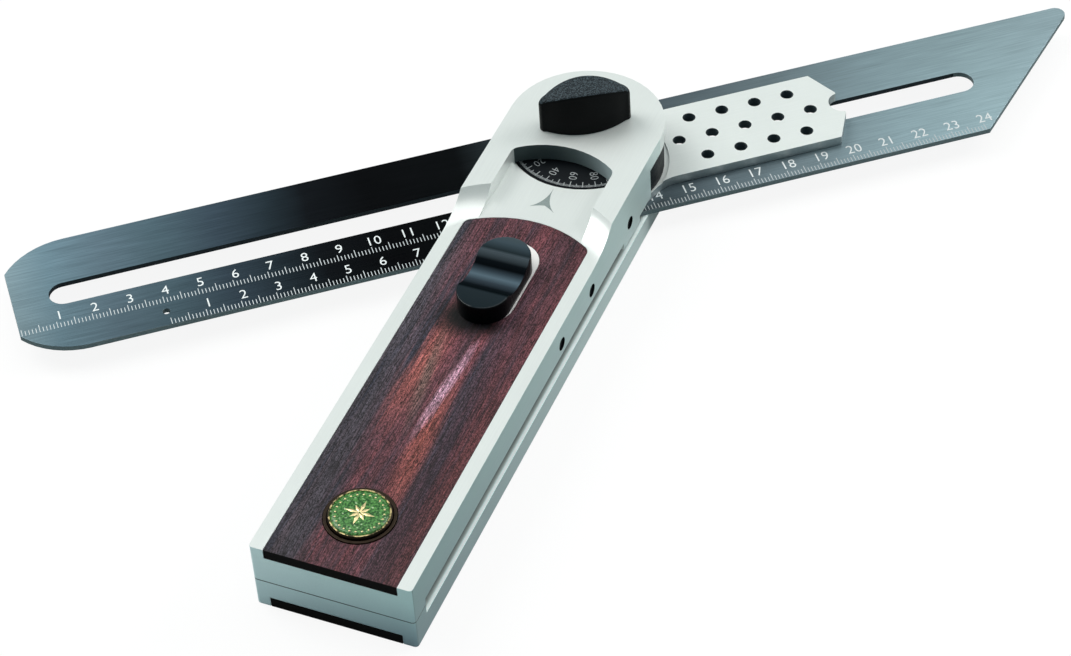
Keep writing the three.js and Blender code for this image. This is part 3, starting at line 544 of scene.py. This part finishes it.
def glossBlack(name, banded):
    look = glossLook
    material, shader = newFinish(name, look["color"], look["roughness"],
                                 Specular_IOR_Level=0.0 if banded else look["specular"])
    if banded:
        low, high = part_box("slider_knob")
        parts = partsOf(material, whereOn(material))
        along = reckon(material, "SUBTRACT", parts["Y"], (low.y + high.y) / 2)
        join(material, alongRamp(material, along, look["bands"]), shader, "Base Color")
        shader.inputs["Coat Roughness"].default_value = look["coatRoughness"]
        coat = spread(material, apart(material, along), *metres(look["coatFrom"]), 0, look["coat"])
        join(material, coat, shader, "Coat Weight")
    swirl = noise(material, placed(material, look["swirl"]), detail=3)
    join(material, spread(material, swirl, *noiseSpan, *look["rough"]), shader, "Roughness")
    bump(material, shader, swirl, look["swirlBump"], look["swirlDepth"])
    return material


# Turned metals, and dull faces such as sawn end grain and drilled walls, darkened as painted shade

metalLook = {
    "grain": (900, 900, 2400),
    "dark": 0.75,
    "smoother": 0.06,
    "rougher": 0.1,
    "dullGrain": 2400,
    "dullDark": 0.5,
    "dullRoughness": 0.7,
    "dullSpecular": 0.06,
}


def turnedMetal(name, color, roughness=0.35, metallic=1.0, specular=0.5):
    look = metalLook
    material, shader = newFinish(name, color, roughness, metallic, Specular_IOR_Level=specular)
    grain = noise(material, placed(material, look["grain"]), detail=3)
    tone = mixed(material, grain, color, darker(color, look["dark"]))
    join(material, tone, shader, "Base Color")
    join(material, spread(material, grain, *noiseSpan, roughness - look["smoother"],
                          roughness + look["rougher"]), shader, "Roughness")
    return material


def dullFace(name, color, metallic=0.0):
    look = metalLook
    material, shader = newFinish(name, color, look["dullRoughness"], metallic,
                                 Specular_IOR_Level=look["dullSpecular"])
    grain = noise(material, placed(material), look["dullGrain"], detail=3)
    tone = mixed(material, grain, color, darker(color, look["dullDark"]))
    join(material, tone, shader, "Base Color")
    return material


# Wall of the reading window, in the cap's shade on its left

windowLook = {
    "color": (0.1, 0.12, 0.13),
    "shaded": (0.055, 0.075, 0.08),
    "lit": (0.42, 0.5, 0.52),
    "span": (-9, 13),
    "lateness": 2.0,
    "roughness": 0.5,
    "metallic": 0.2,
    "specular": 0.2,
}


def shadedWall():
    look = windowLook
    material, shader = newFinish("windowWall", look["color"], look["roughness"],
                                 look["metallic"], Specular_IOR_Level=look["specular"])
    parts = partsOf(material, whereOn(material))
    share = spread(material, parts["X"], *metres(look["span"]))
    share = reckon(material, "POWER", share, look["lateness"])
    join(material, mixed(material, share, look["shaded"], look["lit"]), shader, "Base Color")
    return material


# Medallion: gilding broken through to dark metal with a dark outer edge, and green enamel

giltLook = {
    "color": (0.5, 0.38, 0.16),
    "roughness": 0.4,
    "metallic": 0.8,
    "wear": 900,
    "wearFrom": (0.42, 0.56),
    "gilding": (0.62, 0.5, 0.24),
    "worn": (0.05, 0.045, 0.02),
    "edge": (0.02, 0.012, 0.006),
    "edgeWidth": 0.45 * mm,
    "edgeFade": 0.06 * mm,
}

enamelLook = {
    "color": (0.05, 0.2, 0.045),
    "roughness": 0.35,
    "specular": 0.3,
    "coat": 0.2,
    "coatRoughness": 0.2,
    "grain": 1500,
    "grainFrom": (0.4, 0.64),
    "deep": (0.008, 0.065, 0.01),
    "fresh": (0.1, 0.3, 0.07),
    "glints": 1100,
    "glintsFrom": (0.62, 0.72),
    "glint": (0.45, 0.6, 0.36),
    "bump": 0.5,
    "bumpDepth": 0.05 * mm,
}


def wornGilt():
    look = giltLook
    material, shader = newFinish("wornGilt", look["color"], look["roughness"], look["metallic"])
    wear = noise(material, placed(material), look["wear"], detail=3)
    gilding = mixed(material, spread(material, wear, *look["wearFrom"]), look["gilding"],
                    look["worn"])
    low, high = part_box("medallion")
    away = addNode(material, "ShaderNodeVectorMath", {
        0: whereOn(material), 1: (low + high) / 2}, operation="SUBTRACT").outputs["Vector"]
    flat = addNode(material, "ShaderNodeVectorMath", {
        0: away, 1: (1, 1, 0)}, operation="MULTIPLY").outputs["Vector"]
    radius = addNode(material, "ShaderNodeVectorMath", {0: flat},
                     operation="LENGTH").outputs["Value"]
    edge = (high.x - low.x) / 2 - look["edgeWidth"]
    beyond = spread(material, radius, edge, edge + look["edgeFade"])
    join(material, mixed(material, beyond, gilding, look["edge"]), shader, "Base Color")
    return material


def enamel():
    look = enamelLook
    material, shader = newFinish(
        "greenEnamel", look["color"], look["roughness"], Specular_IOR_Level=look["specular"],
        Coat_Weight=look["coat"], Coat_Roughness=look["coatRoughness"])
    grain = noise(material, placed(material), look["grain"], detail=3)
    green = mixed(material, spread(material, grain, *look["grainFrom"]), look["deep"],
                  look["fresh"])
    glints = noise(material, placed(material), look["glints"], detail=2)
    tone = mixed(material, spread(material, glints, *look["glintsFrom"]), green, look["glint"])
    join(material, tone, shader, "Base Color")
    bump(material, shader, grain, look["bump"], look["bumpDepth"])
    return material


# Paint of the scales and the arrow

paintLook = {
    "roughness": 0.5,
    "scaleSpecular": 0.3,
    "dimAlong": (20, 70),  # the blade's paint is darker towards the tip
    "dimShare": 0.74,
    "wear": 2200,
    "wearShare": (0.45, 0.75, 0, 0.5),
    "wearThin": 0.62,
}


def scalePaint(name, color):
    look = paintLook
    material, shader = newFinish(name, color, look["roughness"],
                                 Specular_IOR_Level=look["scaleSpecular"])
    parts = partsOf(material, placed(material, turn=bladeTurn))
    worn = spread(material, parts["X"], *metres(look["dimAlong"]))
    tone = mixed(material, worn, color, darker(color, look["dimShare"]))
    join(material, tone, shader, "Base Color")
    return material


def whitePaint(name, color):
    look = paintLook
    material, shader = newFinish(name, color, look["roughness"])
    wear = noise(material, placed(material), look["wear"], detail=3)
    tone = mixed(material, spread(material, wear, *look["wearShare"]), color,
                 darker(color, look["wearThin"]))
    join(material, tone, shader, "Base Color")
    return material


finishes = {finish.name: finish for finish in (
    satinAluminium("handleAluminium"),
    # shaded copies for the sides and the flat end: painted shade, darker towards the closed end, the right and the
    # bottom
    satinAluminium("sideAluminiumShade", tones=aluminiumLook["sideShadeTones"]),
    satinAluminium("endAluminiumShade", tones=aluminiumLook["endShadeTones"]),
    satinAluminium("plateAluminium", turn=bladeTurn),
    satinAluminium("plateGlint", aluminiumLook["plateGlintTop"]),
    slotFloor(),
    groundSteel(),
    # near-black: painted shade on the walls of the blade's slot
    dullFace("slotShadeSteel", (0.05, 0.06, 0.07), 0.3),
    dullFace("edgeSteel", (0.24, 0.29, 0.31), 0.2),
    dullFace("drilledWallShade", (0.13, 0.17, 0.19), 0.5),
    turnedMetal("plateEdge", (0.62, 0.66, 0.67), 0.45),
    rosewood("topRosewood", True),
    rosewood("bottomRosewood", False),
    dullFace("endGrainAndShade", (0.008, 0.006, 0.006)),
    shadedWall(),
    turnedMetal("drumBlack", (0.006, 0.0085, 0.011), 0.5, 0.1, 0.12),
    texturedBlack("gripBlack", gripLook["side"], gripLook["top"], gripLook["sideFlecksFrom"]),
    texturedBlack("gripTopLit", gripLook["top"], gripLook["fleck"], gripLook["topFlecksFrom"]),
    glossBlack("glossBlack", False),
    glossBlack("glossBands", True),
    turnedMetal("plainSteel", (0.42, 0.43, 0.44)),
    turnedMetal("blackSteelAndShade", (0.006, 0.0065, 0.0075), 0.5, 0.0, 0.1),
    turnedMetal("turnedBrass", (0.62, 0.42, 0.16), 0.3),
    turnedMetal("bezelBronze", (0.03, 0.017, 0.008), 0.35, 0.7),
    turnedMetal("gilt", (0.72, 0.6, 0.32)),
    wornGilt(),
    enamel(),
    scalePaint("scalePaint", (0.8, 0.84, 0.85)),
    scalePaint("tickPaint", (0.6, 0.64, 0.66)),
    whitePaint("drumPaint", (0.42, 0.45, 0.46)),
    whitePaint("arrowGrey", (0.22, 0.27, 0.265)),
)}

print("finishes ready,", len(finishes))


# Fair copies of the frame's solids: clean faces, small rounded edges, smooth shading

copyShape = {
    "weld": 0.002 * mm,
    "flatAngle": math.radians(0.6),
    "sharpAngle": math.radians(32),
    "edgeSteps": 3,
}

fairPieces = {
    "upper_shell": ("handleAluminium", 0.3 * mm),
    # pale finish: painted highlight beside the slider
    "slide_plate": ("plateGlint", 0.06 * mm),
    "lower_shell": ("handleAluminium", 0.3 * mm),
    "top_inlay": ("topRosewood", 0.08 * mm),
    "bottom_inlay": ("bottomRosewood", 0.08 * mm),
    "pivot_bolt": ("plainSteel", 0.1 * mm),
    "cap_washer": ("plainSteel", 0.08 * mm),
    "medallion_bezel": ("bezelBronze", 0.12 * mm),
    "carrier": ("plateAluminium", 0.12 * mm),
    "protractor_drum": ("drumBlack", 0.1 * mm),
    "blade": ("groundSteel", 0.12 * mm),
    "clamp_knob": ("gripBlack", 0.0),
    "slider_knob": ("glossBlack", 0.35 * mm),
    "side_screw_1": ("blackSteelAndShade", 0.08 * mm),
    "side_screw_2": ("blackSteelAndShade", 0.08 * mm),
    "side_screw_3": ("blackSteelAndShade", 0.08 * mm),
}


def place(name, mesh, finish, body):
    piece = bpy.data.objects.new(name, mesh)
    bpy.context.collection.objects.link(piece)
    mesh.materials.clear()
    mesh.materials.append(finishes[finish])
    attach(piece, body)
    return piece


def fairCopy(node, finish, edge, name=None):
    mesh = frame["nodes"][node].data.copy()
    work = bmesh.new()
    work.from_mesh(mesh)
    bmesh.ops.remove_doubles(work, verts=work.verts, dist=copyShape["weld"])
    bmesh.ops.dissolve_limit(work, angle_limit=copyShape["flatAngle"], verts=work.verts,
                             edges=work.edges)
    for face in work.faces:
        face.smooth = True
    work.to_mesh(mesh)
    work.free()
    mesh.set_sharp_from_angle(angle=copyShape["sharpAngle"])
    piece = place(name or node + "_fair", mesh, finish, bodyOf[node])
    if edge:
        bevel = piece.modifiers.new("edge", "BEVEL")
        bevel.width = edge
        bevel.segments = copyShape["edgeSteps"]
        bevel.limit_method = "ANGLE"
        bevel.angle_limit = copyShape["sharpAngle"]
        bevel.miter_outer = "MITER_ARC"
        bevel.harden_normals = True
    weights = piece.modifiers.new("weights", "WEIGHTED_NORMAL")
    weights.keep_sharp = True
    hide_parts(node)
    return piece


fair = {node: fairCopy(node, finish, edge) for node, (finish, edge) in fairPieces.items()}


# Second finishes on some faces of a piece, chosen by the face's middle and direction

accentPlaces = {
    "inlayEnd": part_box("top_inlay")[0].y + 0.2 * mm,
    "endDepth": 0.9 * mm,
    "sideFrom": 21 * mm,
    "slotFloor": 6.3 * mm,
    "slotFloorHalf": 0.1 * mm,
    "bladeSlot": {"from": -158 * mm, "to": 112 * mm, "half": 4.6 * mm},
    "holes": {"from": 24 * mm, "to": 70.5 * mm, "half": 11 * mm},
    "screwNear": 2.3 * mm,
    "windowHalf": 15 * mm,
    "windowBack": -36 * mm,
    "windowFront": -8 * mm,
    "windowFloor": 20.4 * mm,
}
facings = {  # how squarely a face looks that way, or how little up or down
    "square": 0.9,
    "handle": 0.7,
    "gripTopLit": 0.55,
    "leaning": 0.5,
    "bladeEdge": 0.4,
    "wall": 0.3,
}

screwBoxes = [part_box("side_screw_%d" % number) for number in (1, 2, 3)]
screwSpots = [(low + high) / 2 for low, high in screwBoxes]
toBlade = bladeFrame.inverted()


def accent(node, finish, chosen):
    mesh = fair[node].data
    mesh.materials.append(finishes[finish])
    for face in mesh.polygons:
        if chosen(face.center, face.normal):
            face.material_index = len(mesh.materials) - 1


def alongBlade(middle, stretch):
    spot = toBlade @ middle
    return stretch["from"] < spot.x < stretch["to"] and abs(spot.y) < stretch["half"]


def isInlayEnd(middle, facing):
    return facing.y < -facings["square"] and middle.y < accentPlaces["inlayEnd"]


def isWindowWall(middle, facing):
    inside = abs(middle.x) < accentPlaces["windowHalf"] and middle.z > accentPlaces["windowFloor"]
    behind = accentPlaces["windowBack"] < middle.y < accentPlaces["windowFront"]
    upright = abs(facing.z) < facings["wall"]
    return inside and behind and upright and facing.y < -facings["leaning"]


def isScrewHole(middle, facing):
    near = any((middle.yz - spot.yz).length < accentPlaces["screwNear"] for spot in screwSpots)
    return near and middle.x > 0 and abs(facing.x) < facings["leaning"]


def isHandleSide(middle, facing):
    outside = abs(middle.x) > accentPlaces["sideFrom"]
    return outside and middle.y < 0 and abs(facing.x) > facings["handle"]


def isHandleEnd(middle, facing):
    near = middle.y < accentPlaces["inlayEnd"] + accentPlaces["endDepth"]
    return near and facing.y < -facings["handle"]


def isSlotFloor(middle, facing):
    near = abs(middle.z - accentPlaces["slotFloor"]) < accentPlaces["slotFloorHalf"]
    return near and facing.z > facings["square"]


def isPlateEdge(middle, facing):
    return abs(facing.z) < facings["wall"]


def isDrilledWall(middle, facing):
    return abs(facing.z) < facings["wall"] and alongBlade(middle, accentPlaces["holes"])


def isGripTop(middle, facing):
    return facing.z > facings["gripTopLit"]


def isSliderTop(middle, facing):
    return facing.z > facings["leaning"]


def isBladeEdge(middle, facing):
    return abs(facing.z) < facings["bladeEdge"]


def isBladeSlot(middle, facing):
    return isBladeEdge(middle, facing) and alongBlade(middle, accentPlaces["bladeSlot"])


# the inlays' front ends: dark end grain, darkened further as painted shade
accent("top_inlay", "endGrainAndShade", isInlayEnd)
accent("bottom_inlay", "endGrainAndShade", isInlayEnd)
accent("upper_shell", "windowWall", isWindowWall)
# the screw holes' walls in the shell take the black steel: painted shade in the holes
accent("upper_shell", "blackSteelAndShade", isScrewHole)
# sides and flat end take the shaded copies: painted shade
for shell in ("upper_shell", "lower_shell"):
    accent(shell, "sideAluminiumShade", isHandleSide)
    accent(shell, "endAluminiumShade", isHandleEnd)
# painted light and glow on the slot floor's edge, painted shade further in
accent("lower_shell", "slotFloor", isSlotFloor)
accent("carrier", "plateEdge", isPlateEdge)
# the plate's hole walls take a dark grey: painted shade in the holes
accent("carrier", "drilledWallShade", isDrilledWall)
accent("clamp_knob", "gripTopLit", isGripTop)
accent("slider_knob", "glossBands", isSliderTop)
accent("blade", "edgeSteel", isBladeEdge)
# painted shade on the blade slot's walls
accent("blade", "slotShadeSteel", isBladeSlot)

hiddenFinish = {"brass": "turnedBrass", "plain_steel": "plainSteel", "black_steel": "blackSteelAndShade"}
for node, solid in frame["nodes"].items():
    if node not in fairPieces and node != "medallion":
        solid.data.materials.clear()
        solid.data.materials.append(finishes[hiddenFinish[slotOf[node]]])

print("fair copies made,", len(fairPieces))


# Flat prints: ticks and numbers a few hundredths of a millimetre thick

numberShape = {"capShare": 0.73, "spacing": 1.05, "curveSteps": 3}

numberWork = bpy.data.curves.new("numberWork", "FONT")
numberWork.align_x = "CENTER"
numberWork.align_y = "CENTER"
numberWork.space_character = numberShape["spacing"]
numberWork.resolution_u = numberShape["curveSteps"]
numberStand = bpy.data.objects.new("numberStand", numberWork)
bpy.context.collection.objects.link(numberStand)


def meshFrom(work, name):
    mesh = bpy.data.meshes.new(name)
    work.to_mesh(mesh)
    work.free()
    return mesh


def printMesh(name, outlines, thickness):  # each outline is a list of corners on one level
    work = bmesh.new()
    for corners in outlines:
        low = [work.verts.new(c) for c in corners]
        high = [work.verts.new((c[0], c[1], c[2] + thickness)) for c in corners]
        work.faces.new(high)
        work.faces.new(list(reversed(low)))
        for index in range(len(corners)):
            after = (index + 1) % len(corners)
            work.faces.new((low[index], low[after], high[after], high[index]))
    return meshFrom(work, name)


def tick(start, direction, width):
    side = Vector((-direction.y, direction.x, 0)).normalized() * width / 2
    end = start + direction
    return [end - side, end + side, start + side, start - side]


def numberMesh(name, labels, shape):
    work = bmesh.new()
    numberWork.size = shape["numberHeight"] / numberShape["capShare"]
    numberWork.extrude = shape["thickness"] / 2
    numberWork.offset = -shape["numberThin"]
    for text, matrix in labels:
        numberWork.body = text
        graph = bpy.context.evaluated_depsgraph_get()
        graph.update()
        letters = bpy.data.meshes.new_from_object(numberStand.evaluated_get(graph))
        letters.transform(matrix @ Matrix.Diagonal((shape["numberWidth"], 1, 1, 1)))
        work.from_mesh(letters)
        bpy.data.meshes.remove(letters)
    bmesh.ops.remove_doubles(work, verts=work.verts, dist=copyShape["weld"])
    return meshFrom(work, name)


# Scales on the blade, in the blade's own directions: along from the pivot, up from its lower edge

scaleShape = {
    "rows": (  # zero and base in millimetres, last tick, height of the numbers' middle
        (-126.6, 0.15, 240, 4.9),
        (-167.0, 9.1, 150, 13.8),
    ),
    "lowerEdge": -22.35 * mm,
    "millimetre": 1.8 * mm,
    "half": 2.9 * mm,
    "whole": 2.5 * mm,
    "line": 0.21 * mm,
    "numberHeight": 3.6 * mm,
    "numberThin": 0.02 * mm,
    "numberWidth": 0.92,
    "beside": 1.2 * mm,  # figures stand just past their line
    "thickness": 0.02 * mm,
}


def bladeScales():
    shape = scaleShape
    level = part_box("blade")[1].z
    ticks = []
    labels = []
    for zero, base, last, numberAt in shape["rows"]:
        for count in range(last + 1):
            reach = shape["millimetre"]
            if count % 10 == 0:
                reach = shape["whole"]
            elif count % 5 == 0:
                reach = shape["half"]
            start = Vector(((zero + count) * mm, shape["lowerEdge"] + base * mm, level))
            ticks.append(tick(start, Vector((0, reach, 0)), shape["line"]))
        for number in range(1, last // 10 + 1):
            spot = Vector(((zero + number * 10) * mm + shape["beside"],
                           shape["lowerEdge"] + numberAt * mm, level + shape["thickness"] / 2))
            labels.append((str(number), bladeFrame @ Matrix.Translation(spot)))
    lines = printMesh("scaleTicks", ticks, shape["thickness"])
    lines.transform(bladeFrame)
    place("scaleTicks", lines, "tickPaint", "blade")
    place("scaleNumbers", numberMesh("scaleNumbers", labels, shape), "scalePaint", "blade")


bladeScales()
print("blade scales printed")


# Drum: a ring of ticks with numbers every twenty degrees

drumShape = {
    "atArrow": 51.2,  # the reading at rest
    "edgeInset": 0.7 * mm,
    "fine": 0.8 * mm,
    "five": 1.4 * mm,
    "ten": 2.2 * mm,
    "line": 0.13 * mm,
    "fiveWider": 1.4,
    "tenWider": 1.6,
    "last": 100,
    "numbersEvery": 20,
    "numberRadius": 16.7 * mm,
    "numberHeight": 2.5 * mm,
    "numberThin": 0.05 * mm,
    "numberWidth": 0.95,
    "thickness": 0.02 * mm,
}


def drumScale():
    shape = drumShape
    low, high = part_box("protractor_drum")
    radius = (high.x - low.x) / 2 - shape["edgeInset"]
    level = Vector((0, 0, high.z))
    numberLevel = Vector((0, 0, high.z + shape["thickness"] / 2))
    ticks = []
    labels = []
    for value in range(-shape["last"], shape["last"] + 1):
        turn = math.radians(value - shape["atArrow"])
        outward = Vector((math.sin(turn), -math.cos(turn), 0))
        reach, width = shape["fine"], shape["line"]
        if value % 10 == 0:
            reach, width = shape["ten"], width * shape["tenWider"]
        elif value % 5 == 0:
            reach, width = shape["five"], width * shape["fiveWider"]
        ticks.append(tick(outward * radius + level, -outward * reach, width))
        if value % shape["numbersEvery"] == 0:
            spot = Matrix.Translation(outward * shape["numberRadius"] + numberLevel)
            labels.append((str(abs(value)), spot @ Matrix.Rotation(turn - math.pi / 2, 4, "Z")))
    place("drumTicks", printMesh("drumTicks", ticks, shape["thickness"]), "drumPaint", "rotor")
    place("drumNumbers", numberMesh("drumNumbers", labels, shape), "drumPaint", "rotor")


drumScale()
bpy.data.objects.remove(numberStand)
print("drum scale printed")


# Arrow on the channel floor

arrowShape = {
    "sides": (  # from, to in millimetres, and how hollow the side between them is
        ((0.0, -24.2), (-3.7, -33.3), 1.25),
        ((-3.7, -33.3), (0.2, -31.8), 0.3125),
        ((0.2, -31.8), (3.8, -33.8), 0.3125),
        ((3.8, -33.8), (0.0, -24.2), 1.25),
    ),
    "middle": (0.1, -30.5),
    "steps": 8,
    "level": 21.5 * mm,
    "thickness": 0.02 * mm,
}


def arrow():
    shape = arrowShape
    points = []
    for first, second, hollow in shape["sides"]:
        start, end = Vector(first), Vector(second)
        inward = (Vector(shape["middle"]) - (start + end) / 2).normalized()
        for step in range(shape["steps"]):
            t = step / shape["steps"]
            point = start.lerp(end, t) + inward * hollow * 4 * t * (1 - t)
            points.append((point.x * mm, point.y * mm, shape["level"]))
    place("arrow", printMesh("arrow", [points], shape["thickness"]), "arrowGrey", "handle")


arrow()
print("arrow placed")


# Medallion: gilt body, a domed enamel field, and a plain rosette of petals and beads

medallionShape = {
    "edge": 0.12 * mm,
    "rim": 0.8 * mm,
    "fieldDrop": 0.23 * mm,
    "fieldRise": 0.32 * mm,
    "fieldDepth": 0.1 * mm,
    "rings": 6,
    "sides": 64,
    "petals": 8,
    "longPetal": 5.0 * mm,
    "shortPetal": 3.3 * mm,
    "petalHalf": 0.625 * mm,
    "narrow": 0.35,  # the petal's inner end, as a share of its width
    "widestAt": 0.45,  # and places along it, as shares of its length
    "crestAt": 0.35,
    "relief": 0.14 * mm,
    "sunk": 0.03 * mm,
    "beads": 24,
    "beadCircle": 6.35 * mm,
    "beadRadius": 0.3 * mm,
    "beadHeight": 0.5,
}

medallionLow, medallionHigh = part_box("medallion")
medallionCentre = (medallionLow + medallionHigh) / 2
fieldRadius = medallionHigh.x - medallionCentre.x - medallionShape["rim"]
fieldBase = medallionHigh.z - medallionShape["fieldDrop"]


def onField(radius, turn, rise=0.0):  # a place on the domed field, or so far above it
    dome = medallionShape["fieldRise"] * (1 - (radius / fieldRadius) ** 2)
    return Vector((medallionCentre.x + radius * math.cos(turn),
                   medallionCentre.y + radius * math.sin(turn), fieldBase + dome + rise))


def enamelField():
    shape = medallionShape
    foot = fieldBase - shape["fieldDepth"]
    turns = [2 * math.pi * side / shape["sides"] for side in range(shape["sides"])]
    work = bmesh.new()
    rings = []
    for ring in range(1, shape["rings"] + 1):
        radius = fieldRadius * ring / shape["rings"]
        rings.append([work.verts.new(onField(radius, turn)) for turn in turns])
    middle = work.verts.new(onField(0, 0))
    rings.append([work.verts.new((v.co.x, v.co.y, foot)) for v in rings[-1]])
    work.faces.new(list(reversed(rings[-1])))
    for side in range(shape["sides"]):
        after = (side + 1) % shape["sides"]
        work.faces.new((middle, rings[0][side], rings[0][after]))
        for inner, outer in zip(rings, rings[1:]):
            work.faces.new((inner[side], outer[side], outer[after], inner[after]))
    for face in work.faces:
        face.smooth = True
    place("enamelField", meshFrom(work, "enamelField"), "greenEnamel", "handle")


def giltRosette():
    shape = medallionShape
    half = shape["petalHalf"]
    work = bmesh.new()
    for petal in range(shape["petals"]):
        turn = 2 * math.pi * petal / shape["petals"]
        reach = shape["longPetal"] if petal % 2 == 0 else shape["shortPetal"]
        outline = [(0.0, shape["narrow"] * half), (shape["widestAt"] * reach, half), (reach, 0.0),
                   (shape["widestAt"] * reach, -half), (0.0, -shape["narrow"] * half)]
        lows = [work.verts.new(onField(math.hypot(x, y), turn + math.atan2(y, x), -shape["sunk"]))
                for x, y in outline]
        crest = work.verts.new(onField(shape["crestAt"] * reach, turn, shape["relief"]))
        work.faces.new(lows)
        for index in range(len(lows)):
            work.faces.new((lows[(index + 1) % len(lows)], lows[index], crest))
    for bead in range(shape["beads"]):
        spot = onField(shape["beadCircle"], 2 * math.pi * bead / shape["beads"])
        flattened = Matrix.Diagonal((1, 1, shape["beadHeight"], 1))
        bmesh.ops.create_icosphere(work, subdivisions=2, radius=shape["beadRadius"],
                                   matrix=Matrix.Translation(spot) @ flattened)
    bmesh.ops.recalc_face_normals(work, faces=work.faces)
    place("giltRosette", meshFrom(work, "giltRosette"), "gilt", "handle")


fairCopy("medallion", "wornGilt", medallionShape["edge"], name="medallionRim")
enamelField()
giltRosette()
print("medallion dressed")


# Studio: pale floor, soft light from above, camera at the photograph's angle

studio = {
    "floorSize": 6.0,
    "floorDrop": 0.02 * mm,
    "floorTone": (0.42, 0.5, 0.5),
    "floorRoughness": 0.9,
    "floorSpecular": 0.1,
    "paperTone": (0.95, 0.96, 0.96),
    "floorGlow": 0.9,
    "mirroredGlow": 0.12,
    "worldTone": (0.74, 0.98, 1.0),
    "worldStrength": 0.22,
    "lamps": [
        {"at": (-1.65, 0.17, 1.96), "size": (1.7, 1.7), "power": 48.0},
        {"at": (0.3, 0.8, 2.4), "size": (2.0, 2.0), "power": 26.0},
        {"at": (0.62, 0.5, 0.62), "size": (0.3, 0.3), "power": 3.2},
        {"at": (-0.5, 1.6, 0.38), "size": (1.8, 0.6), "power": 3.7},
        {"at": (1.1, 1.05, 0.42), "size": (1.0, 0.6), "power": 2.8},
    ],
    "lampTone": (1.0, 0.99, 0.965),
    "aim": (0, -0.02, 0.01),
}

cameraShape = {
    "place": (0.2782, -0.6374, 0.6276),
    "right": (0.92422, 0.37860, -0.04974),
    "up": (-0.23288, 0.66208, 0.71233),
    "back": (0.30262, -0.64677, 0.70008),
    "lens": 109.08,
    "sensor": 36.0,
    "nearest": 0.01,
}


def backdropMix(material, shown, lit):  # what the camera and mirrors see, over what the lamps light
    path = addNode(material, "ShaderNodeLightPath").outputs
    direct = times(material, path["Is Camera Ray"], studio["floorGlow"])
    mirrored = reckon(material, "MAXIMUM", path["Is Glossy Ray"], path["Is Transmission Ray"])
    mirrored = times(material, mirrored, studio["mirroredGlow"])
    mix = addNode(material, "ShaderNodeMixShader", {
        "Fac": reckon(material, "MAXIMUM", direct, mirrored), 1: lit, 2: shown})
    return mix.outputs["Shader"]


def floor():
    half = studio["floorSize"] / 2
    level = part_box("lower_shell")[0].z - studio["floorDrop"]
    mesh = bpy.data.meshes.new("floor")
    mesh.from_pydata([(-half, -half, level), (half, -half, level), (half, half, level),
                      (-half, half, level)], [], [(0, 1, 2, 3)])
    ground = bpy.data.objects.new("floor", mesh)
    bpy.context.collection.objects.link(ground)
    material, shader = newFinish("floorPaper", studio["floorTone"], studio["floorRoughness"],
                                 Specular_IOR_Level=studio["floorSpecular"])
    seen = addNode(material, "ShaderNodeLightPath").outputs["Is Camera Ray"]
    join(material, mixed(material, seen, studio["floorTone"], studio["paperTone"]), shader,
         "Base Color")
    glow = addNode(material, "ShaderNodeEmission", {"Color": (1, 1, 1, 1), "Strength": 1.0})
    surface = backdropMix(material, glow.outputs["Emission"], shader.outputs["BSDF"])
    output = next(n for n in material.node_tree.nodes if n.type == "OUTPUT_MATERIAL")
    join(material, surface, output, "Surface")
    mesh.materials.append(material)


def lights():
    world = bpy.data.worlds.new("studioWorld")
    world.use_nodes = True
    sky = world.node_tree.nodes["Background"]
    sky.inputs["Color"].default_value = (*studio["worldTone"], 1)
    sky.inputs["Strength"].default_value = studio["worldStrength"]
    bpy.context.scene.world = world
    for index, lamp in enumerate(studio["lamps"]):
        data = bpy.data.lights.new("softbox%d" % index, "AREA")
        data.shape = "RECTANGLE"
        data.size, data.size_y = lamp["size"]
        data.energy = lamp["power"]
        data.color = studio["lampTone"]
        box = bpy.data.objects.new("softbox%d" % index, data)
        box.location = lamp["at"]
        aim = Vector(studio["aim"]) - Vector(lamp["at"])
        box.rotation_euler = aim.to_track_quat("-Z", "Y").to_euler()
        bpy.context.collection.objects.link(box)


def camera():
    data = bpy.data.cameras.new("camera")
    data.lens = cameraShape["lens"]
    data.sensor_width = cameraShape["sensor"]
    data.sensor_fit = "HORIZONTAL"
    data.clip_start = cameraShape["nearest"]
    view = bpy.data.objects.new("camera", data)
    columns = [cameraShape["right"], cameraShape["up"], cameraShape["back"]]
    turn = Matrix(columns).transposed().to_4x4()
    view.matrix_world = Matrix.Translation(cameraShape["place"]) @ turn
    bpy.context.collection.objects.link(view)
    bpy.context.scene.camera = view


floor()
lights()
camera()
bpy.context.scene.view_settings.view_transform = "Standard"
print("studio set")
